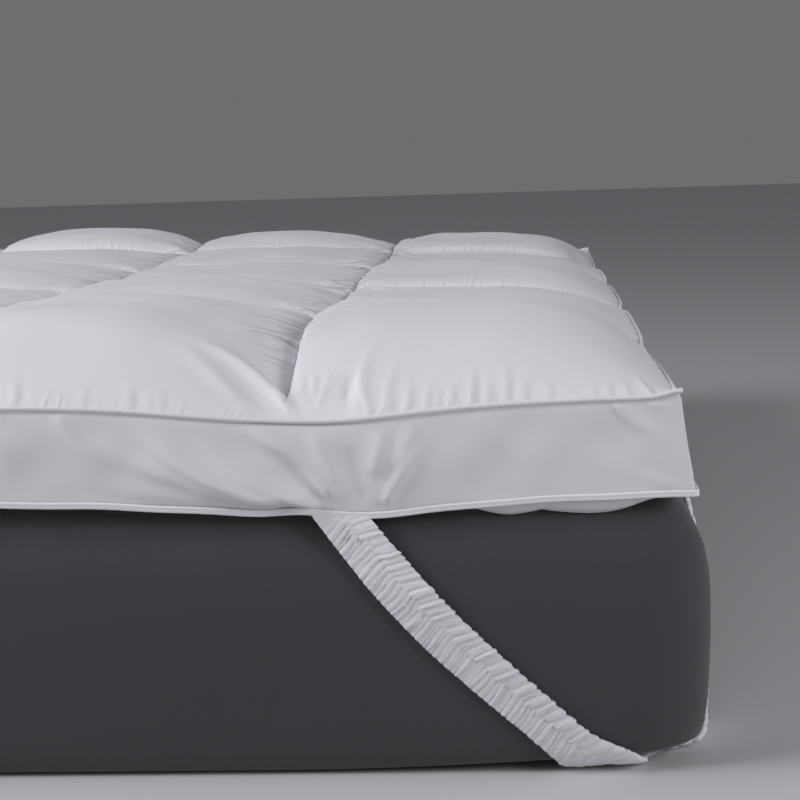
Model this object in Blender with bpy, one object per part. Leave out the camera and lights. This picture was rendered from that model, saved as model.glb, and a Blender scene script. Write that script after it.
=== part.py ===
"""A quilted mattress topper with a boxed edge and elastic corner straps, on its mattress.

The bed lies along Y with its foot at -Y, and its underside is at z = 0.
"""

import math
from collections import namedtuple

import bmesh
import bpy
from mathutils import Vector

# ---------------------------------------------------------------- driving sizes, in metres

# mattress
MATTRESS_WIDTH = 1.548      # across the fullest line of its sides
MATTRESS_LENGTH = 2.040
MATTRESS_HEIGHT = 0.266
MATTRESS_CORNER = 0.075     # radius of its upright corners, seen from above
CORNER_STEPS = 4            # facets round an upright corner
CORNER_LIFT = 0.0195        # how far the underside of a corner is raised by the strap under it
LIFT_REACH = 0.40           # how far from the corner that lift is felt
LIFT_POWER = 1.7
LIFT_DEPTH = 0.30           # how far in from a corner the underside comes down to the floor
LIFT_FADE = 0.13            # the height at which the lift of the corner no longer shows

# topper
TOP_WIDTH = 1.480           # between the top piping seams
TOP_LENGTH = 1.980
BOTTOM_WIDTH = 1.510        # between the bottom piping seams
BOTTOM_LENGTH = 2.010
BOTTOM_SEAM = 0.2700        # height of the bottom piping seam where nothing pulls it
BOX_HEIGHT = 0.0905         # height of the boxed side between its two seams
COLUMNS = 4                 # quilted cells across the bed
CHANNEL_HEIGHT = 0.028      # sewn channels inside the topper, above the top piping seam
CHANNEL_FADE = 0.12         # how far from the edge a channel comes up to that height
LEFT_SWELL = (4.5, 0.38)    # fullness and steepness of a cell at the channel on its left
RIGHT_SWELL = (2.0, 0.75)   # the same at the channel on its right, where it slopes down longer
ROW_SWELL = (3.5, 0.45)     # the same at a channel across the bed
EDGE_SWELL = (2.3, 0.90)    # the same at the outer edge
SEAM_DRAW = 0.005           # how far a sewn channel draws in the edge where it ends
SEAM_SPREAD = 0.05          # how far along the edge, and in the panel, that is seen
DRAW_FADE = 12              # the draw is gone this sharply in from the edge
SIDE_BULGE = 0.004          # how far the boxed side swells out at half its height
BULGE_REACH = 0.20          # how far from a corner it comes up to that
UNDER_SAG = 0.021           # how far the filling hangs below the bottom seam, past the mattress
SAG_REACH = 0.07            # how far from a corner it comes down to that
SAG_END = 0.20              # how far from a corner it has faded away again
UNDER_TUCK = 0.016          # how much further in the underside's corners touch down
EAR_OUT = 0.0025            # how far a corner of the top seam points out, and up
EAR_UP = 0.006
EAR_REACH = 0.016
BED_GAP = 0.0004            # topper above mattress

# piping
PIPING_SIDES = 5
TOP_PIPING = 0.0026         # radius of the thin upper piping
BOTTOM_PIPING = 0.0034      # radius of the thicker lower piping, upright
BOTTOM_FLATNESS = 0.55      # of that, its radius outwards
PIPING_TURN = 0.7           # how much of its way out a piping still has at a corner it rounds
TOP_PIPING_GAP = 0.0011     # between a seam and the near side of its piping
BOTTOM_PIPING_GAP = 0.0005

# elastic straps
STRAP_THICKNESS = 0.0024
STRAP_LINES = 4             # strips of mesh across a strap
STRAP_PULL = 0.315          # from a corner to the middle of the pull of its strap
STRAP_NEAR = 0.115          # how wide that pull is towards the corner, and away from it
STRAP_FAR = 0.20
STRAP_DIP = 0.0170          # how far it pulls the bottom seam down
TOP_PULL = 0.340            # the same for the top seam, where strap and channel pull together
TOP_NEAR = 0.135
TOP_FAR = 0.168
TOP_DIP = 0.0203
PULL_REACH = 0.10           # how far into the panel the pulls on the top seam are felt
SIDE_SHARE = 0.5            # of these pulls, what the long sides show
CHANNEL_DIP = 0.006         # how far any other channel pulls the top seam down
CORNER_NAMES = {
    (1, -1): "front_right",
    (-1, -1): "front_left",
    (1, 1): "back_right",
    (-1, 1): "back_left",
}

# Crown of each cell above the top piping seam: a row of cells a line, from the foot to the
# head, and from the left of the bed to the right.
CROWNS = (
    (0.083, 0.086, 0.081, 0.073),
    (0.075, 0.064, 0.067, 0.041),
    (0.074, 0.068, 0.054, 0.053),
    (0.070, 0.062, 0.055, 0.029),
    (0.068, 0.082, 0.065, 0.052),
)
ROWS = len(CROWNS)

# Where the mesh lines of a cell lie, as shares of its width: close together at its channels.
CELL_STEPS = (0.0, 0.05, 0.15, 0.30, 0.50, 0.70, 0.85, 0.95)

Level = namedtuple("Level", "height inset")
# Side of the mattress from floor to top: height, and how far in from its fullest line.
MATTRESS_SIDE = (
    Level(0.0000, 0.024),
    Level(0.0030, 0.015),
    Level(0.0120, 0.009),
    Level(0.0300, 0.005),
    Level(0.0700, 0.002),
    Level(0.1300, 0.000),
    Level(0.1850, 0.002),
    Level(0.2120, 0.008),
    Level(0.2310, 0.0175),
    Level(0.2480, 0.028),
    Level(0.2590, 0.042),
    Level(0.2645, 0.058),
    Level(MATTRESS_HEIGHT, 0.080),
)

Fold = namedtuple("Fold", "way inset height")
# Middle of a strap's cloth as it comes down the side and folds under, before the corner is
# raised: the way travelled (down to 0 at the floor, then negative inwards), distance in from
# the fullest line, height.
STRAP_FOLD = (
    Fold(0.270, 0.0180, 0.2700),
    Fold(0.235, 0.0085, 0.2350),
    Fold(0.190, -0.0013, 0.1900),
    Fold(0.130, -0.0024, 0.1300),
    Fold(0.070, 0.0000, 0.0700),
    Fold(0.030, 0.0023, 0.0298),
    Fold(0.012, 0.0055, 0.0105),
    Fold(0.002, 0.0118, -0.0006),
    Fold(-0.009, 0.0220, -0.0044),
    Fold(-0.110, 0.1230, -0.0044),
)

Section = namedtuple("Section", "inner_along inner_way outer_along outer_way")
# Half of a strap, from its seam to the middle under the corner. Each row is a cut across it:
# for its two edges the distance from the corner along the side, and the way as above.
STRAP_SECTIONS = (
    Section(0.3765, 0.2490, 0.3225, 0.2492),
    Section(0.3630, 0.2340, 0.3115, 0.2370),
    Section(0.3450, 0.2110, 0.2965, 0.2200),
    Section(0.3235, 0.1840, 0.2755, 0.1960),
    Section(0.2975, 0.1540, 0.2520, 0.1690),
    Section(0.2710, 0.1250, 0.2280, 0.1440),
    Section(0.2430, 0.0970, 0.2040, 0.1200),
    Section(0.2125, 0.0670, 0.1785, 0.0930),
    Section(0.1865, 0.0420, 0.1520, 0.0655),
    Section(0.1710, 0.0260, 0.1355, 0.0480),
    Section(0.1600, 0.0150, 0.1215, 0.0345),
    Section(0.1505, 0.0050, 0.1055, 0.0240),
    Section(0.1430, -0.0050, 0.0890, 0.0150),
    Section(0.1345, -0.0180, 0.0755, 0.0060),
    Section(0.1260, -0.0360, 0.0680, -0.0080),
    Section(0.1120, -0.0600, 0.0660, -0.0300),
)

# ---------------------------------------------------------------- small helpers


def material(name, colour, roughness):
    """A plain cloth finish."""
    made = bpy.data.materials.new(name)
    made.use_nodes = True
    shader = made.node_tree.nodes["Principled BSDF"]
    shader.inputs["Base Color"].default_value = (*colour, 1.0)
    shader.inputs["Roughness"].default_value = roughness
    shader.inputs["Metallic"].default_value = 0.0
    return made


def mesh_object(name, points, faces, finish):
    """One closed body with its faces pointing out, shaded smooth but for its sharp edges."""
    mesh = bpy.data.meshes.new(name)
    mesh.from_pydata([tuple(p) for p in points], [], faces)
    shape = bmesh.new()
    shape.from_mesh(mesh)
    bmesh.ops.recalc_face_normals(shape, faces=shape.faces)
    shape.to_mesh(mesh)
    shape.free()
    mesh.materials.append(finish)
    mesh.shade_smooth()
    mesh.set_sharp_from_angle(angle=math.radians(50))
    made = bpy.data.objects.new(name, mesh)
    bpy.context.scene.collection.objects.link(made)
    return made


def ring_band(first, second, count):
    """Faces between two closed rings of `count` points that start at these indices."""
    return [
        (first + k, first + (k + 1) % count, second + (k + 1) % count, second + k)
        for k in range(count)
    ]


def stack_faces(rings, count):
    """Faces of a stack of closed rings, one after another."""
    return [f for r in range(rings - 1) for f in ring_band(r * count, (r + 1) * count, count)]


def along_table(rows, value):
    """Straight-line reading of a table of named rows, by its first column."""
    ordered = sorted(rows, key=lambda row: row[0])
    low, high = ordered[0], ordered[-1]
    value = min(max(value, low[0]), high[0])
    for low, high in zip(ordered, ordered[1:]):
        if value <= high[0]:
            break
    share = (value - low[0]) / (high[0] - low[0])
    return [a + (b - a) * share for a, b in zip(low[1:], high[1:])]


def dip(distance, middle, near, far):
    """A pull that is 1 at `middle`, with a long tail to the corner and a short one away from it."""
    if distance < middle:
        return 1.0 / (1.0 + ((distance - middle) / near) ** 2)
    return math.exp(-((distance - middle) / far) ** 2)


# ---------------------------------------------------------------- mattress


def mattress_outline(inset):
    """Plan of the mattress at one level: a rectangle with round corners, as (x, y) points."""
    half_x, half_y = MATTRESS_WIDTH / 2 - inset, MATTRESS_LENGTH / 2 - inset
    radius = max(MATTRESS_CORNER - inset, 0.02)
    stops = (0.16, 0.27, 0.41)
    points = []
    for quarter, (sx, sy) in enumerate(((1, -1), (1, 1), (-1, 1), (-1, -1))):
        centre = Vector((sx * (half_x - radius), sy * (half_y - radius)))
        start = math.radians(-90 + 90 * quarter)
        for k in range(CORNER_STEPS + 1):
            angle = start + math.radians(90) * k / CORNER_STEPS
            points.append(centre + radius * Vector((math.cos(angle), math.sin(angle))))
        if quarter % 2 == 0:    # up the right side, or down the left one
            run = [sy * (MATTRESS_LENGTH / 2 - s) for s in stops]
            points += [Vector((sx * half_x, y)) for y in run + [-y for y in reversed(run)]]
        else:                   # along the head, or along the foot
            run = [sx * (MATTRESS_WIDTH / 2 - s) for s in stops]
            points += [Vector((x, sy * half_y)) for x in run + [-x for x in reversed(run)]]
    return points


def corner_distance(x, y):
    """From a point in plan to the nearest corner of the mattress's bounding rectangle."""
    return math.hypot(MATTRESS_WIDTH / 2 - abs(x), MATTRESS_LENGTH / 2 - abs(y))


def corner_lift(distance, height):
    """How far the strap under a corner raises a point, by its distance from the corner."""
    near = max(0.0, 1.0 - distance / LIFT_REACH)
    low = min(1.0, max(0.0, 1.0 - height / LIFT_FADE))
    return CORNER_LIFT * low * near ** LIFT_POWER


def build_mattress(finish):
    """A plain block with round corners and full sides, its underside flat but at the corners."""
    rings = []
    inner = []
    for p in mattress_outline(MATTRESS_SIDE[0].inset):
        near = max(0.0, 1.0 - corner_distance(p.x, p.y) / LIFT_REACH)
        way = 0.02 + LIFT_DEPTH * near
        inner.append(Vector((p.x - math.copysign(way, p.x), p.y - math.copysign(way, p.y), 0.0)))
    rings.append(inner)
    for level in MATTRESS_SIDE:
        rings.append([
            Vector((p.x, p.y, level.height + corner_lift(corner_distance(p.x, p.y), level.height)))
            for p in mattress_outline(level.inset)
        ])
    count = len(inner)
    faces = stack_faces(len(rings), count)
    faces.append(tuple(reversed(range(count))))
    faces.append(tuple(range((len(rings) - 1) * count, len(rings) * count)))
    return mesh_object("mattress", [p for ring in rings for p in ring], faces, finish)


# ---------------------------------------------------------------- topper


def mesh_lines(cells):
    """Places of the mesh lines across a number of cells, from -1 to 1."""
    shares = [cell + step for cell in range(cells) for step in CELL_STEPS] + [cells]
    return [2.0 * s / cells - 1.0 for s in shares]


def seam_draw(share, cells):
    """1 where a sewn channel ends at the edge, fading between channels."""
    size = (TOP_WIDTH / COLUMNS + TOP_LENGTH / ROWS) / 2
    place = (share + 1.0) / 2.0 * cells
    return sum(math.exp(-(((place - k) * size / SEAM_SPREAD) ** 2)) for k in range(1, cells))


def side_pull(share, half, middle, near, far):
    """Pull of the two straps of one side, at a place along it from -1 to 1."""
    return sum(dip(half * (1.0 + end * share), middle, near, far) for end in (-1, 1))


def edge_height(u, v):
    """Height that the top seam gives the panel, from straps, channels and corner ears."""
    half_x, half_y = TOP_WIDTH / 2, TOP_LENGTH / 2
    from_side, from_end = half_x * (1.0 - abs(u)), half_y * (1.0 - abs(v))
    near = SEAM_SPREAD / half_x, SEAM_SPREAD / half_y
    end_pull = TOP_DIP * side_pull(u, half_x, TOP_PULL, TOP_NEAR, TOP_FAR)
    end_pull += CHANNEL_DIP * math.exp(-(u / near[0]) ** 2)
    long_pull = TOP_DIP * side_pull(v, half_y, TOP_PULL, TOP_NEAR, TOP_FAR)
    long_pull += CHANNEL_DIP * math.exp(-((abs(v) - 1.0 / ROWS) / near[1]) ** 2)
    pull = end_pull * math.exp(-from_end / PULL_REACH)
    pull += SIDE_SHARE * long_pull * math.exp(-from_side / PULL_REACH)
    ear = EAR_UP * math.exp(-((math.hypot(from_side, from_end) / EAR_REACH) ** 2))
    return BOTTOM_SEAM + BOX_HEIGHT - pull + ear


def swell(offset, first, last):
    """Crown of a cell across one direction: 1 in its middle, 0 at its two borders.

    Each border has its fullness and steepness. A sewn channel is narrow and steep, and the
    outer edge of the topper rounds over softly.
    """
    fullness, power = last if offset > 0 else first
    return max(0.0, 1.0 - abs(offset) ** fullness) ** power


def top_point(u, v):
    """Point of the quilted top panel at (u, v), both from -1 to 1."""
    half_x, half_y = TOP_WIDTH / 2, TOP_LENGTH / 2
    x, y = half_x * u, half_y * v
    y -= math.copysign(SEAM_DRAW * seam_draw(u, COLUMNS) * abs(v) ** DRAW_FADE, v)
    x -= math.copysign(SEAM_DRAW * seam_draw(v, ROWS) * abs(u) ** DRAW_FADE, u)
    corner = math.hypot(half_x * (1.0 - abs(u)), half_y * (1.0 - abs(v)))
    ear = EAR_OUT * math.exp(-((corner / EAR_REACH) ** 2))
    x += math.copysign(ear, u)
    y += math.copysign(ear, v)

    column = min(int((u + 1.0) / 2.0 * COLUMNS), COLUMNS - 1)
    row = min(int((v + 1.0) / 2.0 * ROWS), ROWS - 1)
    across = (u + 1.0) * COLUMNS - 2 * column - 1.0
    along = (v + 1.0) * ROWS - 2 * row - 1.0
    left = EDGE_SWELL if column == 0 else LEFT_SWELL
    right = EDGE_SWELL if column == COLUMNS - 1 else RIGHT_SWELL
    near = EDGE_SWELL if row == 0 else ROW_SWELL
    far = EDGE_SWELL if row == ROWS - 1 else ROW_SWELL
    crown_x, crown_y = swell(across, left, right), swell(along, near, far)
    from_side = half_x * (1.0 - abs(u)) / CHANNEL_FADE
    from_end = half_y * (1.0 - abs(v)) / CHANNEL_FADE
    channel = CHANNEL_HEIGHT * (1.0 - math.exp(-from_side ** 2)) * (1.0 - math.exp(-from_end ** 2))
    height = channel + (CROWNS[row][column] - channel) * crown_x * crown_y
    return Vector((x, y, edge_height(u, v) + height))


def edge_places():
    """The (u, v) of every mesh line that meets the edge, once round from the foot's left."""
    us, vs = mesh_lines(COLUMNS), mesh_lines(ROWS)
    places = [(u, -1.0) for u in us[:-1]]
    places += [(1.0, v) for v in vs[:-1]]
    places += [(u, 1.0) for u in reversed(us[1:])]
    places += [(-1.0, v) for v in reversed(vs[1:])]
    return places


def outward(u, v):
    """Direction out of the topper at an edge place, a little short at a corner, to round it."""
    if abs(u) == abs(v) == 1.0:
        return Vector((u, v, 0.0)) * PIPING_TURN
    return Vector((u, 0.0, 0.0)) if abs(u) == 1.0 else Vector((0.0, v, 0.0))


def top_seam():
    """Points of the top piping seam."""
    return [top_point(u, v) for u, v in edge_places()]


def way_from_corner(u, v):
    """Distance of an edge place from the nearest corner, along the bottom seam."""
    return BOTTOM_WIDTH / 2 * (1.0 - abs(u)) + BOTTOM_LENGTH / 2 * (1.0 - abs(v))


def rise_from_corner(u, v, reach):
    """0 at a corner of the topper, rising to nearly 1 at this distance along its sides."""
    return 1.0 - math.exp(-3.0 * (way_from_corner(u, v) / reach) ** 2)


def strap_share(u, v):
    """1 where a strap pulls on the edge, 0 away from it."""
    half, share = (BOTTOM_WIDTH / 2, u) if abs(v) == 1.0 else (BOTTOM_LENGTH / 2, v)
    return min(1.0, side_pull(share, half, STRAP_PULL, STRAP_NEAR, STRAP_FAR))


def bottom_seam():
    """Points of the bottom piping seam."""
    points = []
    for u, v in edge_places():
        height = BOTTOM_SEAM - STRAP_DIP * strap_share(u, v)
        points.append(Vector((BOTTOM_WIDTH / 2 * u, BOTTOM_LENGTH / 2 * v, height)))
    return points


def underside_ring(inset, clear):
    """Ring of the underside this far in from the mattress's fullest line, laid on it."""
    heights = [(level.inset, level.height) for level in MATTRESS_SIDE[5:]]
    ring = []
    for u, v in edge_places():
        way = inset + (UNDER_TUCK if abs(u) == abs(v) == 1.0 else 0.0)
        rest = along_table(heights, way)[0]
        half_x, half_y = MATTRESS_WIDTH / 2 - way, MATTRESS_LENGTH / 2 - way
        ring.append(Vector((half_x * u, half_y * v, rest + clear)))
    return ring


def build_topper(finish):
    """The filled topper: laid underside, boxed side and crowned top as one closed solid."""
    places = edge_places()
    low, high = bottom_seam(), top_seam()
    full = MATTRESS_WIDTH / 2 - BOTTOM_WIDTH / 2
    rings = [underside_ring(0.110, BED_GAP), underside_ring(0.080, BED_GAP)]
    rings.append(underside_ring(0.058, 0.0016))
    shoulder = underside_ring(0.042, 0.0022)
    puff = underside_ring(full + 0.005, 0.0012)
    for k, (u, v) in enumerate(places):
        quiet = 1.0 - strap_share(u, v)
        fade = min(1.0, max(0.0, 3.0 * (1.0 - way_from_corner(u, v) / SAG_END)))
        sag = UNDER_SAG * quiet * fade * rise_from_corner(u, v, SAG_REACH)
        puff[k].z = max(low[k].z - sag, puff[k].z)
    rings += [shoulder, puff, low]
    for share in (0.25, 0.5, 0.75):
        bulge = SIDE_BULGE * math.sin(math.pi * share)
        rings.append([
            below.lerp(above, share) + outward(u, v) * bulge * rise_from_corner(u, v, BULGE_REACH)
            for below, above, (u, v) in zip(low, high, places)
        ])
    points = [p for ring in rings for p in ring]
    count = len(places)
    faces = stack_faces(len(rings), count)
    faces.append(tuple(reversed(range(count))))

    us, vs = mesh_lines(COLUMNS), mesh_lines(ROWS)
    last_ring = len(points) - count
    grid_start = len(points)
    points += [top_point(u, v) for v in vs for u in us]
    width = len(us)

    def grid(i, j):
        return grid_start + j * width + i

    for j in range(len(vs) - 1):
        for i in range(width - 1):
            faces.append((grid(i, j), grid(i + 1, j), grid(i + 1, j + 1), grid(i, j + 1)))
    edge = [grid(i, 0) for i in range(width - 1)]
    edge += [grid(width - 1, j) for j in range(len(vs) - 1)]
    edge += [grid(i, len(vs) - 1) for i in range(width - 1, 0, -1)]
    edge += [grid(0, j) for j in range(len(vs) - 1, 0, -1)]
    for k in range(count):
        after = (k + 1) % count
        faces.append((last_ring + k, last_ring + after, edge[after], edge[k]))
    return mesh_object("topper", points, faces, finish)


# ---------------------------------------------------------------- piping and straps


def build_piping(name, seam, radius, flatness, gap, finish):
    """A cord in its fold of cloth, once round along a seam, on the outer side of it."""
    count = len(seam)
    places = edge_places()
    points = []
    for side in range(PIPING_SIDES):
        turn = 2.0 * math.pi * (side + 0.5) / PIPING_SIDES + math.pi
        out = gap + radius * flatness * (math.cos(math.pi / PIPING_SIDES) + math.cos(turn))
        rise = radius * math.sin(turn)
        points += [
            seam[k] + outward(u, v) * out + Vector((0.0, 0.0, rise))
            for k, (u, v) in enumerate(places)
        ]
    faces = []
    for side in range(PIPING_SIDES):
        faces += ring_band(side * count, (side + 1) % PIPING_SIDES * count, count)
    return mesh_object(name, points, faces, finish)


def fold_point(along, way, out):
    """Point of a strap in its corner: along the side, in from it, and height.

    `out` moves it from the middle of the cloth towards the outside.
    """
    step = 0.002
    inset, height = along_table(STRAP_FOLD, way)
    before, after = along_table(STRAP_FOLD, way + step), along_table(STRAP_FOLD, way - step)
    run = Vector((after[0] - before[0], after[1] - before[1])).normalized()
    raised = corner_lift(math.hypot(along, inset), height)
    return Vector((along, inset + run.y * out, height - run.x * out + raised))


def strap_sections():
    """Cuts across a strap in its corner: its inside from edge to edge, then back outside."""
    half = []
    shares = [k / STRAP_LINES for k in range(STRAP_LINES + 1)]
    for row in STRAP_SECTIONS:
        across = [
            (
                row.inner_along + (row.outer_along - row.inner_along) * share,
                row.inner_way + (row.outer_way - row.inner_way) * share,
            )
            for share in shares
        ]
        inside = [fold_point(along, way, -STRAP_THICKNESS / 2) for along, way in across]
        outside = [fold_point(along, way, STRAP_THICKNESS / 2) for along, way in across]
        half.append(inside + list(reversed(outside)))
    step = (MATTRESS_WIDTH - BOTTOM_WIDTH - MATTRESS_LENGTH + BOTTOM_LENGTH) / 2
    other = [
        [Vector((p.y + step * (p.z / BOTTOM_SEAM) ** 4, p.x, p.z)) for p in cut]
        for cut in reversed(half)
    ]
    return half + other


def build_strap(side_x, side_y, finish):
    """One elastic strap, from the foot or head side round under a corner to the long side."""
    cuts = strap_sections()
    points = [
        Vector((side_x * (MATTRESS_WIDTH / 2 - p.x), side_y * (MATTRESS_LENGTH / 2 - p.y), p.z))
        for cut in cuts
        for p in cut
    ]
    count = len(cuts[0])
    faces = stack_faces(len(cuts), count)
    faces.append(tuple(range(count)))
    faces.append(tuple(reversed(range(len(points) - count, len(points)))))
    return mesh_object("corner_strap_" + CORNER_NAMES[(side_x, side_y)], points, faces, finish)


# ---------------------------------------------------------------- the whole thing


def main():
    for leftover in list(bpy.data.objects):
        bpy.data.objects.remove(leftover)
    white = material("white_microfibre", (0.80, 0.80, 0.83), 0.62)
    binding = material("white_binding", (0.84, 0.84, 0.86), 0.58)
    elastic = material("ruched_elastic", (0.74, 0.74, 0.78), 0.70)
    charcoal = material("charcoal_cloth", (0.055, 0.053, 0.060), 0.85)
    build_mattress(charcoal)
    build_topper(white)
    build_piping("top_piping", top_seam(), TOP_PIPING, 1.0, TOP_PIPING_GAP, binding)
    build_piping("bottom_piping", bottom_seam(), BOTTOM_PIPING, BOTTOM_FLATNESS, BOTTOM_PIPING_GAP, binding)
    for side_x, side_y in CORNER_NAMES:
        build_strap(side_x, side_y, elastic)


main()
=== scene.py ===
"""Looks of a quilted mattress topper with a boxed side and ruched corner straps, on its mattress.

The bed lies along Y with its foot at -Y. Every piece is built from the measures that its frame
was built from, with the finer shape of sewn and filled cloth laid on them.
"""
import logging
import math
from dataclasses import astuple, dataclass, field
from enum import Enum
from typing import Sequence

import bpy
import numpy as np
from mathutils import Matrix, Vector


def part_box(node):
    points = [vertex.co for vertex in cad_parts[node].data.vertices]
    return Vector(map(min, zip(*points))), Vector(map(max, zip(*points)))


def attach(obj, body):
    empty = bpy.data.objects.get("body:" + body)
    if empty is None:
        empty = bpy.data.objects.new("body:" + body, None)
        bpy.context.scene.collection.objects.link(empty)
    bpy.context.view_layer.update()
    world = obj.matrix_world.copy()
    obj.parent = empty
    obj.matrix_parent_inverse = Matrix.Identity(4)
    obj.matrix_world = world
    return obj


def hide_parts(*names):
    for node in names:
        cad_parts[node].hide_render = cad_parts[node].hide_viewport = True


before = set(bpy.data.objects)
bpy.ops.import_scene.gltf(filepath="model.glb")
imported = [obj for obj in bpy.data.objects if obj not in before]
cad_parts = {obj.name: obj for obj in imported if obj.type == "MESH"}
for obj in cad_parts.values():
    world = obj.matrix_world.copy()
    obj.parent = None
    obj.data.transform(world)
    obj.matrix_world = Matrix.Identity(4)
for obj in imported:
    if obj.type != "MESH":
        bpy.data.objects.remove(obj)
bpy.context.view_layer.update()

LOG = logging.getLogger("topper")
Array = np.ndarray
CORD_SIDES = 18


# ---------------------------------------------------------------- names


class Slot(Enum):
    """Material slots of the record."""

    TOPPER = "topper_cloth"
    BINDING = "binding"
    ELASTIC = "elastic"
    MATTRESS = "mattress_cloth"


class Corner(Enum):
    """The four corners of the bed, as their signs along X and Y."""

    FRONT_RIGHT = (1, -1)
    FRONT_LEFT = (-1, -1)
    BACK_RIGHT = (1, 1)
    BACK_LEFT = (-1, 1)

    @property
    def node(self) -> str:
        """Name of the frame's strap at this corner."""
        return "corner_strap_" + self.name.lower()


# ---------------------------------------------------------------- small tools


def hermite(at: Array, knots: Sequence[float], values: Sequence[float]) -> Array:
    """Smooth reading of a short table, with its arguments in the order of np.interp.

    Args:
        at: where to read it.
        knots: where the table has values, rising.
        values: the values there.

    Returns:
        The values read, held at the table's ends.
    """
    x, y = np.asarray(knots, float), np.asarray(values, float)
    at = np.clip(at, x[0], x[-1])
    slopes = np.gradient(y, x)
    k = np.clip(np.searchsorted(x, at, side="right") - 1, 0, len(x) - 2)
    span = x[k + 1] - x[k]
    t = (at - x[k]) / span
    start = (1 + 2 * t) * (1 - t) ** 2 * y[k] + t * (1 - t) ** 2 * span * slopes[k]
    end = t ** 2 * (3 - 2 * t) * y[k + 1] + t ** 2 * (t - 1) * span * slopes[k + 1]
    return start + end


def rise(value: Array) -> Array:
    """Smooth step from 0 at 0 to 1 at 1."""
    t = np.clip(value, 0.0, 1.0)
    return t * t * (3 - 2 * t)


def bell(value: Array) -> Array:
    """Bell curve, 1 at 0."""
    return np.exp(-value ** 2)


def fading(way: Array, reach: float) -> Array:
    """1 at a way of 0, falling evenly to 0 at its reach."""
    return np.maximum(0, 1 - way / reach)


def grid_faces(rows: int, columns: int, closed: bool = False) -> Array:
    """Quads of a grid of points stored row by row.

    Args:
        rows: rows of points.
        columns: points in a row.
        closed: whether each row closes on itself.

    Returns:
        An array of four indices for each face.
    """
    across = columns if closed else columns - 1
    j, i = np.meshgrid(np.arange(rows - 1), np.arange(across), indexing="ij")
    after = (i + 1) % columns
    corners = (j * columns + i, j * columns + after, (j + 1) * columns + after, (j + 1) * columns + i)
    return np.stack(corners, axis=-1).reshape(-1, 4)


def surface_normals(points: Array) -> Array:
    """Unit normals of a grid of points, shape (rows, columns, 3)."""
    normal = np.cross(np.gradient(points, axis=1), np.gradient(points, axis=0))
    return normal / np.maximum(np.linalg.norm(normal, axis=-1, keepdims=True), 1e-9)


def value_waves(x: Array, y: Array, seed: int, wave: float, count: int = 18) -> Array:
    """Soft, seeded unevenness about as large as 1, from crossing waves of one length.

    Args:
        x: places along the first direction.
        y: places along the second.
        seed: seed of its random directions.
        wave: middle wavelength, in the same unit as x and y.
        count: how many waves cross.

    Returns:
        The unevenness at each place.
    """
    rng = np.random.default_rng(seed)
    total = np.zeros(np.broadcast(x, y).shape)
    for _ in range(count):
        turn, phase = rng.uniform(0, 2 * math.pi, 2)
        pace = 2 * math.pi / (wave * rng.uniform(0.7, 1.6))
        total += np.sin(pace * (x * math.cos(turn) + y * math.sin(turn)) + phase)
    return total / math.sqrt(count)


def put(name: str, data: bpy.types.ID) -> bpy.types.Object:
    """A new object of the scene on a mesh, a lamp's or a camera's data.

    Args:
        name: name of the object.
        data: the mesh, lamp or camera data.

    Returns:
        The object, at the origin.
    """
    made = bpy.data.objects.new(name, data)
    bpy.context.scene.collection.objects.link(made)
    return made


def mesh_piece(name: str, points: Array, faces: list, material: bpy.types.Material) -> bpy.types.Object:
    """A closed piece with smooth shading and its faces pointing out.

    Args:
        name: name of the piece.
        points: its points, shape (count, 3), in metres.
        faces: lists of indices.
        material: its finish.

    Returns:
        The new object, at the origin.
    """
    mesh = bpy.data.meshes.new(name)
    mesh.from_pydata(points.tolist(), [], faces)
    mesh.validate()
    mesh.shade_smooth()
    mesh.materials.append(material)
    if signed_volume(mesh) < 0:
        mesh.flip_normals()
    return put(name, mesh)


def signed_volume(mesh: bpy.types.Mesh) -> float:
    """Volume of a closed mesh, negative where it is inside out.

    Args:
        mesh: the mesh.

    Returns:
        Cubic metres.
    """
    mesh.calc_loop_triangles()
    points = np.empty(len(mesh.vertices) * 3)
    mesh.vertices.foreach_get("co", points)
    corners = np.empty(len(mesh.loop_triangles) * 3, dtype=np.int64)
    mesh.loop_triangles.foreach_get("vertices", corners)
    a, b, c = points.reshape(-1, 3)[corners.reshape(-1, 3)].transpose(1, 0, 2)
    return float((a * np.cross(b, c)).sum() / 6)


def point_values(piece: bpy.types.Object, name: str, values: Array) -> None:
    """Stores one number for each point of a piece, for its material to read."""
    layer = piece.data.attributes.new(name, "FLOAT", "POINT")
    layer.data.foreach_set("value", np.ascontiguousarray(values, dtype=np.float32))


# ---------------------------------------------------------------- measures of the topper


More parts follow.
